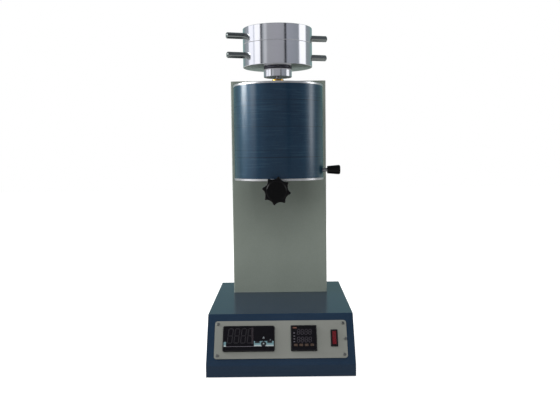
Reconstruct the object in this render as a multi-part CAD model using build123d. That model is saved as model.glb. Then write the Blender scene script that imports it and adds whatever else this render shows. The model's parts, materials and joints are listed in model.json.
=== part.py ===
from build123d import *
import math
import os

# Melt flow index tester, free-standing bench model.
# Millimetres. The origin is on the table under the middle of the base housing.
# +Z is up, -Y is the operator's side, +X is the operator's right.

# Base housing, folded from painted sheet
BASE_WIDTH = 273.0
BASE_DEPTH = 358.0
BASE_HEIGHT = 103.4
LIP_HEIGHT = 21.3
SLOPE_RUN = 53.1
SHEET = 1.5
BEND_RADIUS = 2.5
FLOOR_FLANGE = 14.0
WIRE_HOLE = 56.0

# Feet
FOOT_LIFT = 3.0
FOOT_RADIUS = 10.0
FOOT_WEB = 1.4
FOOT_INSET_X = 32.0
FOOT_INSET_Y = 32.0

# Rear panel of the base, set in so that nothing on it stands proud of the housing
REAR_RECESS = 6.5
REAR_FLANGE = 14.0
VENT_COUNT = 7
VENT_PITCH = 9.0
VENT_WIDTH = 3.5
VENT_HEIGHT = 44.0
VENT_X = -62.0
INLET_X = 78.0
INLET_WIDTH = 30.0
INLET_HEIGHT = 23.0
INLET_FLANGE = 3.0
INLET_DEPTH = 20.0
INLET_WALL = 2.6
PIN_PITCH = 7.0
PIN_WIDTH = 2.0
PIN_HEIGHT = 4.0
PIN_LENGTH = 12.0
PIN_OFFSET = 2.0
FUSE_X = 36.0
FUSE_CAP_RADIUS = 6.5
FUSE_CAP_LENGTH = 5.0
FUSE_BODY_RADIUS = 5.4
FUSE_BODY_LENGTH = 30.0

# Power parts on the floor of the base
HEATSINK_WIDTH = 62.0
HEATSINK_DEPTH = 80.0
HEATSINK_HEIGHT = 26.0
HEATSINK_X = -52.0
POWER_PARTS_SETBACK = 87.0
FIN_COUNT = 7
FIN_THICK = 3.0
FIN_ROOT = 6.0
RELAY_WIDTH = 45.0
RELAY_DEPTH = 58.0
RELAY_HEIGHT = 23.0
TERMINAL_X = 62.0
TERMINAL_COUNT = 8
TERMINAL_PITCH = 10.0
TERMINAL_DEPTH = 22.0
TERMINAL_HEIGHT = 17.0

# Front control panel on the sloped face. U runs to the right, V up the slope.
PANEL_WIDTH = 245.0
PANEL_LOW = 12.2
PANEL_HIGH = 83.5
PANEL_THICK = 2.0
PANEL_CORNER = 5.0
PANEL_SCREW_INSET = 6.0
EDGE_SCREW_INSET = 3.0
WINDOW_MARGIN_U = 14.5
WINDOW_MARGIN_V = 12.0
METER_V = 49.0

# Timer, in the usual 96 x 48 panel size
TIMER_U = -59.0
TIMER_WIDTH = 96.0
METER_HEIGHT = 48.0
TIMER_CORNER = 3.5
TIMER_KEY_V = -7.2
TIMER_KEY_WIDTH = 8.0
TIMER_KEY_HEIGHT = 2.8
TIMER_KEY_RADIUS = 4.6
TIMER_KEY_CENTRE_U = 27.4
TIMER_KEY_CENTRE_V = -10.5
TIMER_KEY_PITCH = 11.3

# Temperature controller, in the usual 48 x 48 panel size
CONTROLLER_U = 42.7
CONTROLLER_WIDTH = 48.0
CONTROLLER_CORNER = 1.5
CONTROLLER_KEY_COUNT = 4
CONTROLLER_KEY_PITCH = 10.1
CONTROLLER_KEY_WIDTH = 6.6
CONTROLLER_KEY_HEIGHT = 4.4
CONTROLLER_KEY_V = -13.4

# What both meters share
BEZEL_PROUD = 4.0
BEZEL_RIM = 1.9
CASE_INSET = 2.3
CASE_DEPTH = 58.0
CASE_WALL = 1.5
FASCIA_THICK = 0.8
FASCIA_SUNK = 0.6
KEY_PROUD = 0.7
KEY_LENGTH = 3.0
KEY_GAP = 0.2
CUT_OUT_GAP = 0.4

# Rocker switch
SWITCH_U = 99.0
SWITCH_WIDTH = 13.4
SWITCH_HEIGHT = 32.0
SWITCH_PROUD = 2.2
SWITCH_RIM_U = 2.9
SWITCH_RIM_V = 3.2
SWITCH_DEPTH = 20.0
SWITCH_WALL = 1.6
ROCKER_TILT = 6.0
ROCKER_GAP = 0.35
ROCKER_DEPTH = 6.0
ROCKER_CROWN = 1.2
ROCKER_PROUD = 1.4
ROCKER_PIVOT_RADIUS = 1.5

# Column
COLUMN_WIDTH = 202.5
COLUMN_HEIGHT = 456.2
COLUMN_DEPTH = 105.0
COLUMN_BACK_SETBACK = 7.0
COLUMN_FLANGE = 22.0
COVER_MARGIN = 4.0
BACKING_WIDTH = 120.0
BACKING_THICK = 4.0
BACKING_MARGIN = 12.0

# Furnace
JACKET_RADIUS = 88.0
JACKET_HEIGHT = 178.1
JACKET_SHEET = 1.2
FURNACE_GAP = 15.0
FURNACE_CLEARANCE = 250.2
BOTTOM_PLATE = 4.0
TOP_PLATE = 3.6
PLATE_LIP = 0.6
SPACER_COUNT = 4
SPACER_RADIUS = 4.0
SPACER_CIRCLE = 76.0
INSULATION_GAP = 0.1
INSULATION_BORE = 32.5
BORE_OVERLAP = 2.0
BLOCK_RADIUS = 27.0
BLOCK_TOP_GAP = 4.0
HEATER_THICK = 3.9
HEATER_HEIGHT = 50.0
HEATER_MARGIN = 18.0
HEATER_SPLIT = 4.0
BRACKET_WIDTH = 90.0
BRACKET_THICK = 4.0
BRACKET_HEIGHT = 47.0
BRACKET_OVERLAP = 33.0
PROBE_RADIUS = 2.0
PROBE_DEPTH = 13.0
CONDUIT_RADIUS = 8.0
CONDUIT_WALL = 2.0
CONDUIT_COLLAR = 11.0
CONDUIT_COLLAR_THICK = 3.0
CONDUIT_REACH = 8.0

# Extrusion barrel, die and piston, to the usual test standard
BARREL_RADIUS = 12.0
BARREL_BORE = 9.55 / 2
BARREL_FIT = 0.1
DIE_RADIUS = 9.5 / 2
DIE_HEIGHT = 8.0
DIE_BORE = 2.095 / 2
PISTON_HEAD_RADIUS = 9.474 / 2
PISTON_HEAD_HEIGHT = 6.35
PISTON_ROD_RADIUS = 3.5
PISTON_MARK_PITCH = 30.0
PISTON_MARK_WIDTH = 0.6
PISTON_MARK_DEPTH = 0.15
BUSH_RADIUS = 14.7
BUSH_HEIGHT = 11.8
BUSH_STEP_RADIUS = 11.4
BUSH_STEP_HEIGHT = 4.5
BUSH_SPIGOT = 12.0
BUSH_SPIGOT_GAP = 0.03
ROD_FIT = 0.05

# Weight tray and weights
TRAY_GAP = 3.9
TRAY_RADIUS = 27.6
TRAY_HEIGHT = 18.8
TRAY_SEAM_HEIGHT = 8.2
SEAM_WIDTH = 0.5
SEAM_DEPTH = 0.5
TRAY_SOCKET = 9.0
WEIGHT_RADIUS = 67.9
LOWER_WEIGHT_HEIGHT = 43.9
UPPER_WEIGHT_HEIGHT = 30.9
WEIGHT_EDGE = 0.6
WEIGHT_PIN_RADIUS = 10.0
WEIGHT_PIN_HEIGHT = 6.0
WEIGHT_PIN_GAP = 0.3
HANDLE_RADIUS = 6.0
HANDLE_REACH = 102.5
HANDLE_SEAT = 12.0
HANDLE_CHAMFER = 1.6
LOWER_HANDLE_TURN = 18.0
UPPER_HANDLE_TURN = 16.0

# Slide that holds the die in the barrel and lets it drop when pulled
GUIDE_RADIUS = 32.0
SLIDE_HEIGHT = 18.1
SLIDE_THICK = 4.4
SLIDE_WIDTH = 18.0
SLIDE_TAIL = 14.0
SLIDE_SHOULDER = 6.0
SLIDE_TRAVEL = 22.0
SLIDE_FIT = 0.1
STRAND_HOLE = 2.5
DIE_DROP_HOLE = 6.0
STRAND_MARGIN = 4.0
PULL_ROD_RADIUS = 3.75
SLOT_WIDTH = 10.0
SLOT_HEIGHT = 20.0
GRIP_START = 96.4
GRIP_LENGTH = 25.8
GRIP_INNER_RADIUS = 7.5
GRIP_OUTER_RADIUS = 9.7
GRIP_ROUND = 3.0
GRIP_SOCKET = 14.0

# Strand cutter under the furnace
CUTTER_X = -4.5
CUTTER_DROP = 16.6
SHAFT_RADIUS = 4.0
BEARING_WIDTH = 22.0
BEARING_LENGTH = 40.0
BEARING_BELOW = 9.0
BEARING_INSET = 3.0
SHAFT_COLLAR_RADIUS = 5.8
SHAFT_COLLAR_LENGTH = 4.0
AXIAL_GAP = 0.3
SHAFT_END_GAP = 10.0
BLADE_HUB_RADIUS = 7.0
BLADE_HUB_LENGTH = 10.0
BLADE_THICK = 1.2
BLADE_TIP_GAP = 0.9
BLADE_BEYOND = 10.0
KNOB_LOBES = 8
KNOB_RADIUS = 26.5
KNOB_SCALLOP_RADIUS = 13.3
KNOB_SCALLOP_DEPTH = 5.0
KNOB_THICK = 15.0
KNOB_HUB_RADIUS = 11.0
KNOB_HUB_LENGTH = 17.5
KNOB_DISC_RADIUS = 18.5
KNOB_DISC_PROUD = 1.8
KNOB_TURN = -10.0
KNOB_BLEND = 1.6
KNOB_EDGE = 2.0
KNOB_WALL = 5.0

# Fasteners: shank radius, head radius and head height
M3 = (1.5, 2.9, 1.7)
M4 = (2.0, 3.6, 2.3)
M6 = (3.0, 5.0, 4.0)
HOLE_GAP = 0.15
NUT_HEIGHT = 4.5
DRIVE_DEPTH = 0.9
DRIVE_WIDTH = 0.7

# Levels and places that follow from the sizes
HOUSING_Z = FOOT_LIFT
BASE_TOP = HOUSING_Z + BASE_HEIGHT
FRONT_Y = -BASE_DEPTH / 2
BACK_Y = BASE_DEPTH / 2
POWER_PARTS_Y = BACK_Y - POWER_PARTS_SETBACK
KNEE_Z = HOUSING_Z + LIP_HEIGHT
SLOPE_RISE = BASE_HEIGHT - LIP_HEIGHT
FLOOR_Z = HOUSING_Z + SHEET
FLOOR_TOP = FLOOR_Z + SHEET
REAR_Y = BACK_Y - REAR_RECESS
REAR_INNER_Y = REAR_Y - SHEET
SIDE_X = BASE_WIDTH / 2
COLUMN_BACK = BACK_Y - COLUMN_BACK_SETBACK
COLUMN_FRONT = COLUMN_BACK - COLUMN_DEPTH
COLUMN_TOP = BASE_TOP + COLUMN_HEIGHT
COLUMN_X = COLUMN_WIDTH / 2
FURNACE_Y = COLUMN_FRONT - FURNACE_GAP - JACKET_RADIUS
PLATE_RADIUS = JACKET_RADIUS + PLATE_LIP
FURNACE_Z = BASE_TOP + FURNACE_CLEARANCE
JACKET_Z = FURNACE_Z + BOTTOM_PLATE
JACKET_TOP = JACKET_Z + JACKET_HEIGHT
FURNACE_TOP = JACKET_TOP + TOP_PLATE
SLIDE_Z = FURNACE_Z + SLIDE_HEIGHT
GUIDE_TOP = SLIDE_Z + SLIDE_THICK / 2 + SLIDE_FIT
DIE_TOP = GUIDE_TOP + DIE_HEIGHT
BLOCK_TOP = JACKET_TOP - BLOCK_TOP_GAP
PROBE_Z = (GUIDE_TOP + BLOCK_TOP) / 2
BUSH_TOP = FURNACE_TOP + BUSH_HEIGHT
TRAY_Z = BUSH_TOP + TRAY_GAP
TRAY_TOP = TRAY_Z + TRAY_HEIGHT
LOWER_TOP = TRAY_TOP + LOWER_WEIGHT_HEIGHT
UPPER_TOP = LOWER_TOP + UPPER_WEIGHT_HEIGHT
CUTTER_Z = FURNACE_Z - CUTTER_DROP
BEARING_FRONT = FURNACE_Y - PLATE_RADIUS + BEARING_INSET
BEARING_BACK = BEARING_FRONT + BEARING_LENGTH
KNOB_HUB_BACK = BEARING_FRONT - AXIAL_GAP
KNOB_BACK = KNOB_HUB_BACK - KNOB_HUB_LENGTH
KNOB_FRONT = KNOB_BACK - KNOB_THICK
SHAFT_END = FURNACE_Y - SHAFT_END_GAP
BEZEL_TOP = PANEL_THICK + BEZEL_PROUD
FASCIA_TOP = BEZEL_TOP - FASCIA_SUNK
ROCKER_PIVOT = PANEL_THICK + SWITCH_PROUD + ROCKER_PROUD - ROCKER_DEPTH / 2
PANEL_MIDDLE = (PANEL_LOW + PANEL_HIGH) / 2
PANEL_HEIGHT = PANEL_HIGH - PANEL_LOW

SLOPE = Plane(
    origin=(0, FRONT_Y, KNEE_Z), x_dir=(1, 0, 0), z_dir=(0, -SLOPE_RISE, SLOPE_RUN)
)


def block(x, y, z):
    """Box between a low and a high limit on each axis."""
    size = [limits[1] - limits[0] for limits in (x, y, z)]
    middle = [(limits[0] + limits[1]) / 2 for limits in (x, y, z)]
    return Pos(*middle) * Box(*size)


def upright(radius, low, high, x=0.0, y=FURNACE_Y):
    """Round bar along Z, on the furnace axis unless told otherwise."""
    return Pos(x, y, (low + high) / 2) * Cylinder(radius, high - low)


def bar_x(radius, start, end, y, z):
    """Round bar along X."""
    return Pos((start + end) / 2, y, z) * Rot(0, 90, 0) * Cylinder(radius, end - start)


def bar_y(radius, start, end, x, z):
    """Round bar along Y."""
    return Pos(x, (start + end) / 2, z) * Rot(90, 0, 0) * Cylinder(radius, end - start)


def turned(points):
    """Piece turned about the furnace axis from its half outline of (radius, height)."""
    face = Plane.XZ * make_face(Polyline(*points, close=True))
    return Pos(0, FURNACE_Y, 0) * revolve(face, Axis.Z)


def on_slope(shape):
    """Move a shape drawn on the flat onto the sloped face of the housing."""
    return SLOPE.location * shape


def pad(width, height, corner, low, high, u=0.0, v=0.0):
    """Rounded rectangle between two heights over the sloped face."""
    outline = RectangleRounded(width, height, corner)
    return Pos(u, v, low) * extrude(outline, high - low)


def screw(size, length):
    """Cross-headed screw pointing down, with the underside of its head at the origin."""
    shank, head, height = size
    body = Pos(0, 0, height / 2) * Cylinder(head, height)
    body = fillet(body.edges().sort_by(Axis.Z)[-1], height * 0.4)
    for turn in (0, 90):
        slot = Rot(0, 0, turn) * Box(head, DRIVE_WIDTH, 2 * DRIVE_DEPTH)
        body -= Pos(0, 0, height) * slot
    return body + Pos(0, 0, -length / 2) * Cylinder(shank, length)


def flush_screw(size, length):
    """Countersunk screw pointing down, with the top of its head at the origin."""
    shank, head, height = size
    body = Pos(0, 0, -height / 2) * Cone(shank, head, height)
    body += Pos(0, 0, -length / 2) * Cylinder(shank, length)
    for turn in (0, 90):
        body -= Rot(0, 0, turn) * Box(head, DRIVE_WIDTH, 2 * DRIVE_DEPTH)
    return body


def flush_hole(size, length):
    """What a plate loses for a countersunk screw."""
    shank, head, height = size
    cut = Pos(0, 0, -height / 2) * Cone(shank + HOLE_GAP, head + HOLE_GAP, height)
    return cut + Pos(0, 0, -length / 2) * Cylinder(shank + HOLE_GAP, length)


def bolt_and_nut(grip):
    """Hexagon bolt pointing down and its nut, with a stack of sheets between them."""
    shank, head, height = M6
    length = grip + NUT_HEIGHT + shank
    bolt = extrude(RegularPolygon(head, 6), height)
    bolt += Pos(0, 0, -length / 2) * Cylinder(shank, length)
    nut = Pos(0, 0, -grip - NUT_HEIGHT) * extrude(RegularPolygon(head, 6), NUT_HEIGHT)
    nut -= Pos(0, 0, -length / 2) * Cylinder(shank + ROD_FIT, length)
    return [bolt, nut]


def foot_places():
    """Middle of each rubber foot."""
    x = SIDE_X - FOOT_INSET_X
    y = BACK_Y - FOOT_INSET_Y
    return [(side * x, end * y) for side in (-1, 1) for end in (-1, 1)]


def rear_screw_places():
    """Height of each screw that holds a rear panel flange to the housing side."""
    margin = BASE_HEIGHT / 4
    return [HOUSING_Z + margin, BASE_TOP - margin]


def panel_screw_places():
    """Corner screws of the control panel, and the small one at its right edge."""
    u = PANEL_WIDTH / 2 - PANEL_SCREW_INSET
    v = PANEL_HEIGHT / 2 - PANEL_SCREW_INSET
    corners = [(a * u, PANEL_MIDDLE + b * v) for a in (-1, 1) for b in (-1, 1)]
    return corners + [(PANEL_WIDTH / 2 - EDGE_SCREW_INSET, PANEL_MIDDLE)]


def column_bolt_places():
    """Bolts that hold the column's foot flange to the base."""
    x = COLUMN_X - COLUMN_FLANGE / 2
    y = (COLUMN_FRONT + COLUMN_FLANGE / 2, COLUMN_BACK - COLUMN_FLANGE / 2)
    return [(side * x, end) for side in (-1, 1) for end in y]


def bracket_bolt_places():
    """Bolts that hold the two furnace brackets to the column front."""
    x = BRACKET_WIDTH / 2 - BRACKET_HEIGHT / 3
    low = FURNACE_Z + BRACKET_HEIGHT / 2
    high = FURNACE_TOP - BRACKET_HEIGHT / 2
    return [(side * x, z) for side in (-1, 1) for z in (low, high)]


def cover_screw_places():
    """Screws round the edge of the column's rear cover."""
    x = COLUMN_X - COLUMN_FLANGE / 2
    low = BASE_TOP + COLUMN_FLANGE
    high = COLUMN_TOP - COLUMN_FLANGE
    return [(side * x, z) for side in (-1, 1) for z in (low, (low + high) / 2, high)]


def spacer_places():
    """Spacer rods between the furnace plates, clear of the pull rod and the wires."""
    steps = [math.radians(360 * (i + 0.5) / SPACER_COUNT) for i in range(SPACER_COUNT)]
    return [(SPACER_CIRCLE * math.cos(a), SPACER_CIRCLE * math.sin(a)) for a in steps]


def bracket_screw_places():
    """Screws that hold the furnace plates to their brackets."""
    y = COLUMN_FRONT - FURNACE_GAP - BRACKET_OVERLAP / 2
    return [(side * BRACKET_WIDTH / 4, y) for side in (-1, 1)]


def base_housing():
    """Sheet cover of the base: lip, sloped face, top and sides, open at back and below."""
    outline = Plane.YZ * make_face(
        Polyline(
            (FRONT_Y, HOUSING_Z),
            (FRONT_Y, KNEE_Z),
            (FRONT_Y + SLOPE_RUN, BASE_TOP),
            (BACK_Y, BASE_TOP),
            (BACK_Y, HOUSING_Z),
            close=True,
        )
    )
    shell = extrude(outline, SIDE_X, both=True)
    bends = shell.edges().filter_by(Axis.X).sort_by(Axis.Y)
    shell = fillet([edge for edge in bends if edge.center().Z > KNEE_Z - 1][:2], BEND_RADIUS)
    inside = offset(outline, -SHEET, kind=Kind.INTERSECTION)
    shell -= extrude(inside, SIDE_X - SHEET, both=True)
    wall_x = (SHEET - SIDE_X, SIDE_X - SHEET)
    shell -= block(wall_x, (BACK_Y - 2 * SHEET, BACK_Y + 1), (FLOOR_Z, BASE_TOP - SHEET))
    flange_x = (FLOOR_FLANGE - SIDE_X, SIDE_X - FLOOR_FLANGE)
    flange_y = (FRONT_Y + FLOOR_FLANGE, BACK_Y - FLOOR_FLANGE)
    shell -= block(flange_x, flange_y, (HOUSING_Z - 1, FLOOR_TOP))

    top = (BASE_TOP - 2 * SHEET, BASE_TOP + 1)
    middle = (COLUMN_FRONT + COLUMN_BACK) / 2
    half = WIRE_HOLE / 2
    shell -= block((-half, half), (middle - half, middle + half), top)
    for x, y in column_bolt_places():
        shell -= upright(M6[0] + HOLE_GAP, *top, x, y)
    for z in rear_screw_places():
        shell -= bar_x(M4[0] + HOLE_GAP, -SIDE_X - 1, SIDE_X + 1, rear_screw_y(), z)
    window = pad(
        PANEL_WIDTH - 2 * WINDOW_MARGIN_U,
        PANEL_HEIGHT - 2 * WINDOW_MARGIN_V,
        PANEL_CORNER,
        -2 * SHEET,
        SHEET,
        0,
        PANEL_MIDDLE,
    )
    shell -= on_slope(window)
    for u, v in panel_screw_places():
        shell -= on_slope(Pos(u, v, 0) * Cylinder(M3[0] + HOLE_GAP, 4 * SHEET))
    return shell


def rear_screw_y():
    """Middle of the rear panel's side flanges."""
    return REAR_INNER_Y - REAR_FLANGE / 2


def base_floor_plate():
    """Floor of the base. It lies inside the housing on the bottom flange."""
    gap = CUT_OUT_GAP
    plate = block(
        (SHEET + gap - SIDE_X, SIDE_X - SHEET - gap),
        (FRONT_Y + SHEET + gap, BACK_Y - gap),
        (FLOOR_Z, FLOOR_TOP),
    )
    for x, y in foot_places():
        plate -= upright(M4[0] + HOLE_GAP, HOUSING_Z, FLOOR_TOP + 1, x, y)
    return plate


def base_rear_panel():
    """Upright rear wall with its two side flanges, vents, mains inlet and fuse."""
    gap = CUT_OUT_GAP
    inner = SIDE_X - SHEET
    height = (FLOOR_TOP, BASE_TOP - SHEET - gap)
    panel = block((-inner, inner), (REAR_INNER_Y, REAR_Y), height)
    for side in (-1, 1):
        limits = sorted((side * inner, side * (inner - SHEET)))
        flange = block(limits, (REAR_INNER_Y - REAR_FLANGE, REAR_INNER_Y), height)
        for z in rear_screw_places():
            flange -= bar_x(M4[0] + ROD_FIT, -SIDE_X, SIDE_X, rear_screw_y(), z)
        panel += flange
    through = (REAR_INNER_Y - 1, REAR_Y + 1)
    middle = BASE_TOP - BASE_HEIGHT / 2
    for i in range(VENT_COUNT):
        x = VENT_X + (i - (VENT_COUNT - 1) / 2) * VENT_PITCH
        slot = RectangleRounded(VENT_WIDTH, VENT_HEIGHT, VENT_WIDTH * 0.49)
        panel -= Plane.XZ.offset(-through[1]) * Pos(x, middle, 0) * extrude(
            slot, through[1] - through[0]
        )
    width = INLET_WIDTH - 2 * INLET_FLANGE + gap
    tall = INLET_HEIGHT - 2 * INLET_FLANGE + gap
    panel -= block(
        (INLET_X - width / 2, INLET_X + width / 2),
        through,
        (middle - tall / 2, middle + tall / 2),
    )
    panel -= bar_y(FUSE_BODY_RADIUS + HOLE_GAP, *through, FUSE_X, middle)
    return panel


def base_screws():
    """Screws through the housing sides, and those that hold the feet."""
    screws = []
    for z in rear_screw_places():
        for side in (-1, 1):
            place = Pos(side * SIDE_X, rear_screw_y(), z) * Rot(0, side * 90, 0)
            screws.append(place * screw(M4, 4 * SHEET))
    for x, y in foot_places():
        seat = Pos(x, y, FLOOR_Z - FOOT_WEB) * Rot(180, 0, 0)
        screws.append(seat * screw(M4, FOOT_WEB + 3 * SHEET))
    return screws


def rubber_feet():
    """Four round feet, each with a pocket for its screw head."""
    feet = []
    for x, y in foot_places():
        foot = upright(FOOT_RADIUS, 0, FLOOR_Z, x, y)
        foot = chamfer(foot.edges().sort_by(Axis.Z)[0], 1)
        foot -= upright(M4[1] + 2 * HOLE_GAP, -1, FLOOR_Z - FOOT_WEB, x, y)
        foot -= upright(M4[0] + HOLE_GAP, 0, FLOOR_Z + 1, x, y)
        feet.append(foot)
    return feet


def mains_inlet():
    """Appliance inlet in the rear panel: flange outside, body inside, pocket for a plug."""
    middle = BASE_TOP - BASE_HEIGHT / 2
    body_width = INLET_WIDTH - 2 * INLET_FLANGE
    body_height = INLET_HEIGHT - 2 * INLET_FLANGE
    flange = block(
        (INLET_X - INLET_WIDTH / 2, INLET_X + INLET_WIDTH / 2),
        (REAR_Y, REAR_Y + INLET_FLANGE),
        (middle - INLET_HEIGHT / 2, middle + INLET_HEIGHT / 2),
    )
    flange = fillet(flange.edges().filter_by(Axis.Y), INLET_FLANGE)
    body = block(
        (INLET_X - body_width / 2, INLET_X + body_width / 2),
        (REAR_Y - INLET_DEPTH, REAR_Y),
        (middle - body_height / 2, middle + body_height / 2),
    )
    pocket_x, pocket_y, pocket_z = inlet_pocket()
    return flange + body - block(pocket_x, (pocket_y[0], pocket_y[1] + 1), pocket_z)


def inlet_pocket():
    """Limits of the pocket that the plug goes into."""
    middle = BASE_TOP - BASE_HEIGHT / 2
    width = INLET_WIDTH - 2 * INLET_FLANGE - INLET_WALL
    tall = INLET_HEIGHT - 2 * INLET_FLANGE - INLET_WALL
    x = (INLET_X - width / 2, INLET_X + width / 2)
    y = (REAR_Y - INLET_DEPTH + INLET_WALL, REAR_Y + INLET_FLANGE)
    return x, y, (middle - tall / 2, middle + tall / 2)


def mains_inlet_pins():
    """Three flat pins standing on the bottom of the inlet's pocket."""
    middle = BASE_TOP - BASE_HEIGHT / 2
    bottom = inlet_pocket()[1][0]
    pins = []
    for i in (-1, 0, 1):
        x = INLET_X + i * PIN_PITCH
        z = middle + PIN_OFFSET - (PIN_OFFSET if i else 0)
        pins.append(
            block(
                (x - PIN_WIDTH / 2, x + PIN_WIDTH / 2),
                (bottom, bottom + PIN_LENGTH),
                (z - PIN_HEIGHT / 2, z + PIN_HEIGHT / 2),
            )
        )
    return pins


def mains_fuse_holder():
    """Screw-cap fuse holder beside the inlet."""
    middle = BASE_TOP - BASE_HEIGHT / 2
    cap = bar_y(FUSE_CAP_RADIUS, REAR_Y, REAR_Y + FUSE_CAP_LENGTH, FUSE_X, middle)
    cap = fillet(cap.edges().sort_by(Axis.Y)[-1], 1)
    cap -= block(
        (FUSE_X - FUSE_BODY_RADIUS, FUSE_X + FUSE_BODY_RADIUS),
        (REAR_Y + FUSE_CAP_LENGTH - 1, REAR_Y + FUSE_CAP_LENGTH + 1),
        (middle - 0.6, middle + 0.6),
    )
    return cap + bar_y(FUSE_BODY_RADIUS, REAR_Y - FUSE_BODY_LENGTH, REAR_Y, FUSE_X, middle)


def relay_heatsink():
    """Finned sink on the floor that carries the solid state relay."""
    x = (HEATSINK_X - HEATSINK_WIDTH / 2, HEATSINK_X + HEATSINK_WIDTH / 2)
    y = (POWER_PARTS_Y - HEATSINK_DEPTH / 2, POWER_PARTS_Y + HEATSINK_DEPTH / 2)
    top = FLOOR_TOP + HEATSINK_HEIGHT
    sink = block(x, y, (top - FIN_ROOT, top))
    step = (HEATSINK_WIDTH - FIN_THICK) / (FIN_COUNT - 1)
    for i in range(FIN_COUNT):
        low = x[0] + i * step
        sink += block((low, low + FIN_THICK), y, (FLOOR_TOP, top - FIN_ROOT))
    return sink


def solid_state_relay():
    """Relay that switches the furnace heaters, with its four terminal wells."""
    low = FLOOR_TOP + HEATSINK_HEIGHT
    y = (POWER_PARTS_Y - RELAY_DEPTH / 2, POWER_PARTS_Y + RELAY_DEPTH / 2)
    x = (HEATSINK_X - RELAY_WIDTH / 2, HEATSINK_X + RELAY_WIDTH / 2)
    relay = block(x, y, (low, low + RELAY_HEIGHT))
    for side in (-1, 1):
        for end in (-1, 1):
            place_x = HEATSINK_X + side * RELAY_WIDTH / 4
            place_y = POWER_PARTS_Y + end * RELAY_DEPTH * 0.36
            relay -= upright(
                M4[1] + 1, low + RELAY_HEIGHT / 2, low + RELAY_HEIGHT + 1, place_x, place_y
            )
    return relay


def terminal_block():
    """Row of screw terminals where the mains and heater wires meet."""
    length = TERMINAL_COUNT * TERMINAL_PITCH
    x = (TERMINAL_X - length / 2, TERMINAL_X + length / 2)
    y = (POWER_PARTS_Y - TERMINAL_DEPTH / 2, POWER_PARTS_Y + TERMINAL_DEPTH / 2)
    row = block(x, y, (FLOOR_TOP, FLOOR_TOP + TERMINAL_HEIGHT))
    for i in range(TERMINAL_COUNT):
        place = x[0] + (i + 0.5) * TERMINAL_PITCH
        low = FLOOR_TOP + TERMINAL_HEIGHT / 2
        row -= upright(M4[0], low, low + TERMINAL_HEIGHT, place, POWER_PARTS_Y)
    return row


def front_panel():
    """Flat control panel with cut-outs for the two meters and the switch."""
    panel = pad(PANEL_WIDTH, PANEL_HEIGHT, PANEL_CORNER, 0, PANEL_THICK, 0, PANEL_MIDDLE)
    for width, height, u in case_sizes():
        cut = pad(
            width + CUT_OUT_GAP, height + CUT_OUT_GAP, 1, -1, PANEL_THICK + 1, u, METER_V
        )
        panel -= cut
    for u, v in panel_screw_places():
        panel -= Pos(u, v, 0) * Cylinder(M3[0] + HOLE_GAP, 4 * PANEL_THICK)
    return on_slope(panel)


def case_sizes():
    """Width, height and place of what passes through the control panel."""
    inset = 2 * CASE_INSET
    return [
        (TIMER_WIDTH - inset, METER_HEIGHT - inset, TIMER_U),
        (CONTROLLER_WIDTH - inset, METER_HEIGHT - inset, CONTROLLER_U),
        (SWITCH_WIDTH - SWITCH_WALL, SWITCH_HEIGHT - SWITCH_WALL, SWITCH_U),
    ]


def front_panel_screws():
    """Small cross-headed screws of the control panel."""
    places = panel_screw_places()
    return [on_slope(Pos(u, v, PANEL_THICK) * screw(M3, 3 * SHEET)) for u, v in places]


def meter_case(width, corner, u):
    """Moulded case of a panel meter: bezel in front, hollow body behind the panel."""
    body_width = width - 2 * CASE_INSET
    body_height = METER_HEIGHT - 2 * CASE_INSET
    back = PANEL_THICK - CASE_DEPTH
    case = pad(width, METER_HEIGHT, corner, PANEL_THICK, BEZEL_TOP, u, METER_V)
    case = chamfer(case.faces().sort_by(Axis.Z)[-1].edges(), 0.5)
    case += pad(body_width, body_height, 1, back, PANEL_THICK, u, METER_V)
    seat = FASCIA_TOP - FASCIA_THICK
    rim = 2 * BEZEL_RIM
    front = pad(width - rim, METER_HEIGHT - rim, 1, seat, BEZEL_TOP + 1, u, METER_V)
    wall = 2 * CASE_WALL
    hollow = pad(
        body_width - wall, body_height - wall, 1, back + CASE_WALL, BEZEL_TOP, u, METER_V
    )
    return on_slope(case - front - hollow)


def meter_fascia(width, u, keys):
    """Front sheet of a panel meter, with a hole for each key."""
    rim = 2 * (BEZEL_RIM + KEY_GAP / 2)
    low = FASCIA_TOP - FASCIA_THICK
    fascia = pad(width - rim, METER_HEIGHT - rim, 1, low, FASCIA_TOP, u, METER_V)
    for key in keys:
        fascia -= key
    return on_slope(fascia)


def timer_key(index, grow=0.0):
    """One key of the timer: the round one in the middle or a bar beside it."""
    low = FASCIA_TOP + KEY_PROUD - KEY_LENGTH
    high = FASCIA_TOP + KEY_PROUD
    if index == 1:
        key = Cylinder(TIMER_KEY_RADIUS + grow, KEY_LENGTH)
        v = METER_V + TIMER_KEY_CENTRE_V
        return Pos(TIMER_U + TIMER_KEY_CENTRE_U, v, (low + high) / 2) * key
    u = TIMER_U + TIMER_KEY_CENTRE_U + (index - 1) * TIMER_KEY_PITCH
    width = TIMER_KEY_WIDTH + 2 * grow
    height = TIMER_KEY_HEIGHT + 2 * grow
    return pad(width, height, 1 + grow, low, high, u, METER_V + TIMER_KEY_V)


def controller_key(index, grow=0.0):
    """One of the four small keys under the controller's display."""
    low = FASCIA_TOP + KEY_PROUD - KEY_LENGTH
    high = FASCIA_TOP + KEY_PROUD
    middle = (CONTROLLER_KEY_COUNT - 1) / 2
    u = CONTROLLER_U + (index - middle) * CONTROLLER_KEY_PITCH
    width = CONTROLLER_KEY_WIDTH + 2 * grow
    height = CONTROLLER_KEY_HEIGHT + 2 * grow
    return pad(width, height, 1 + grow, low, high, u, METER_V + CONTROLLER_KEY_V)


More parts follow.
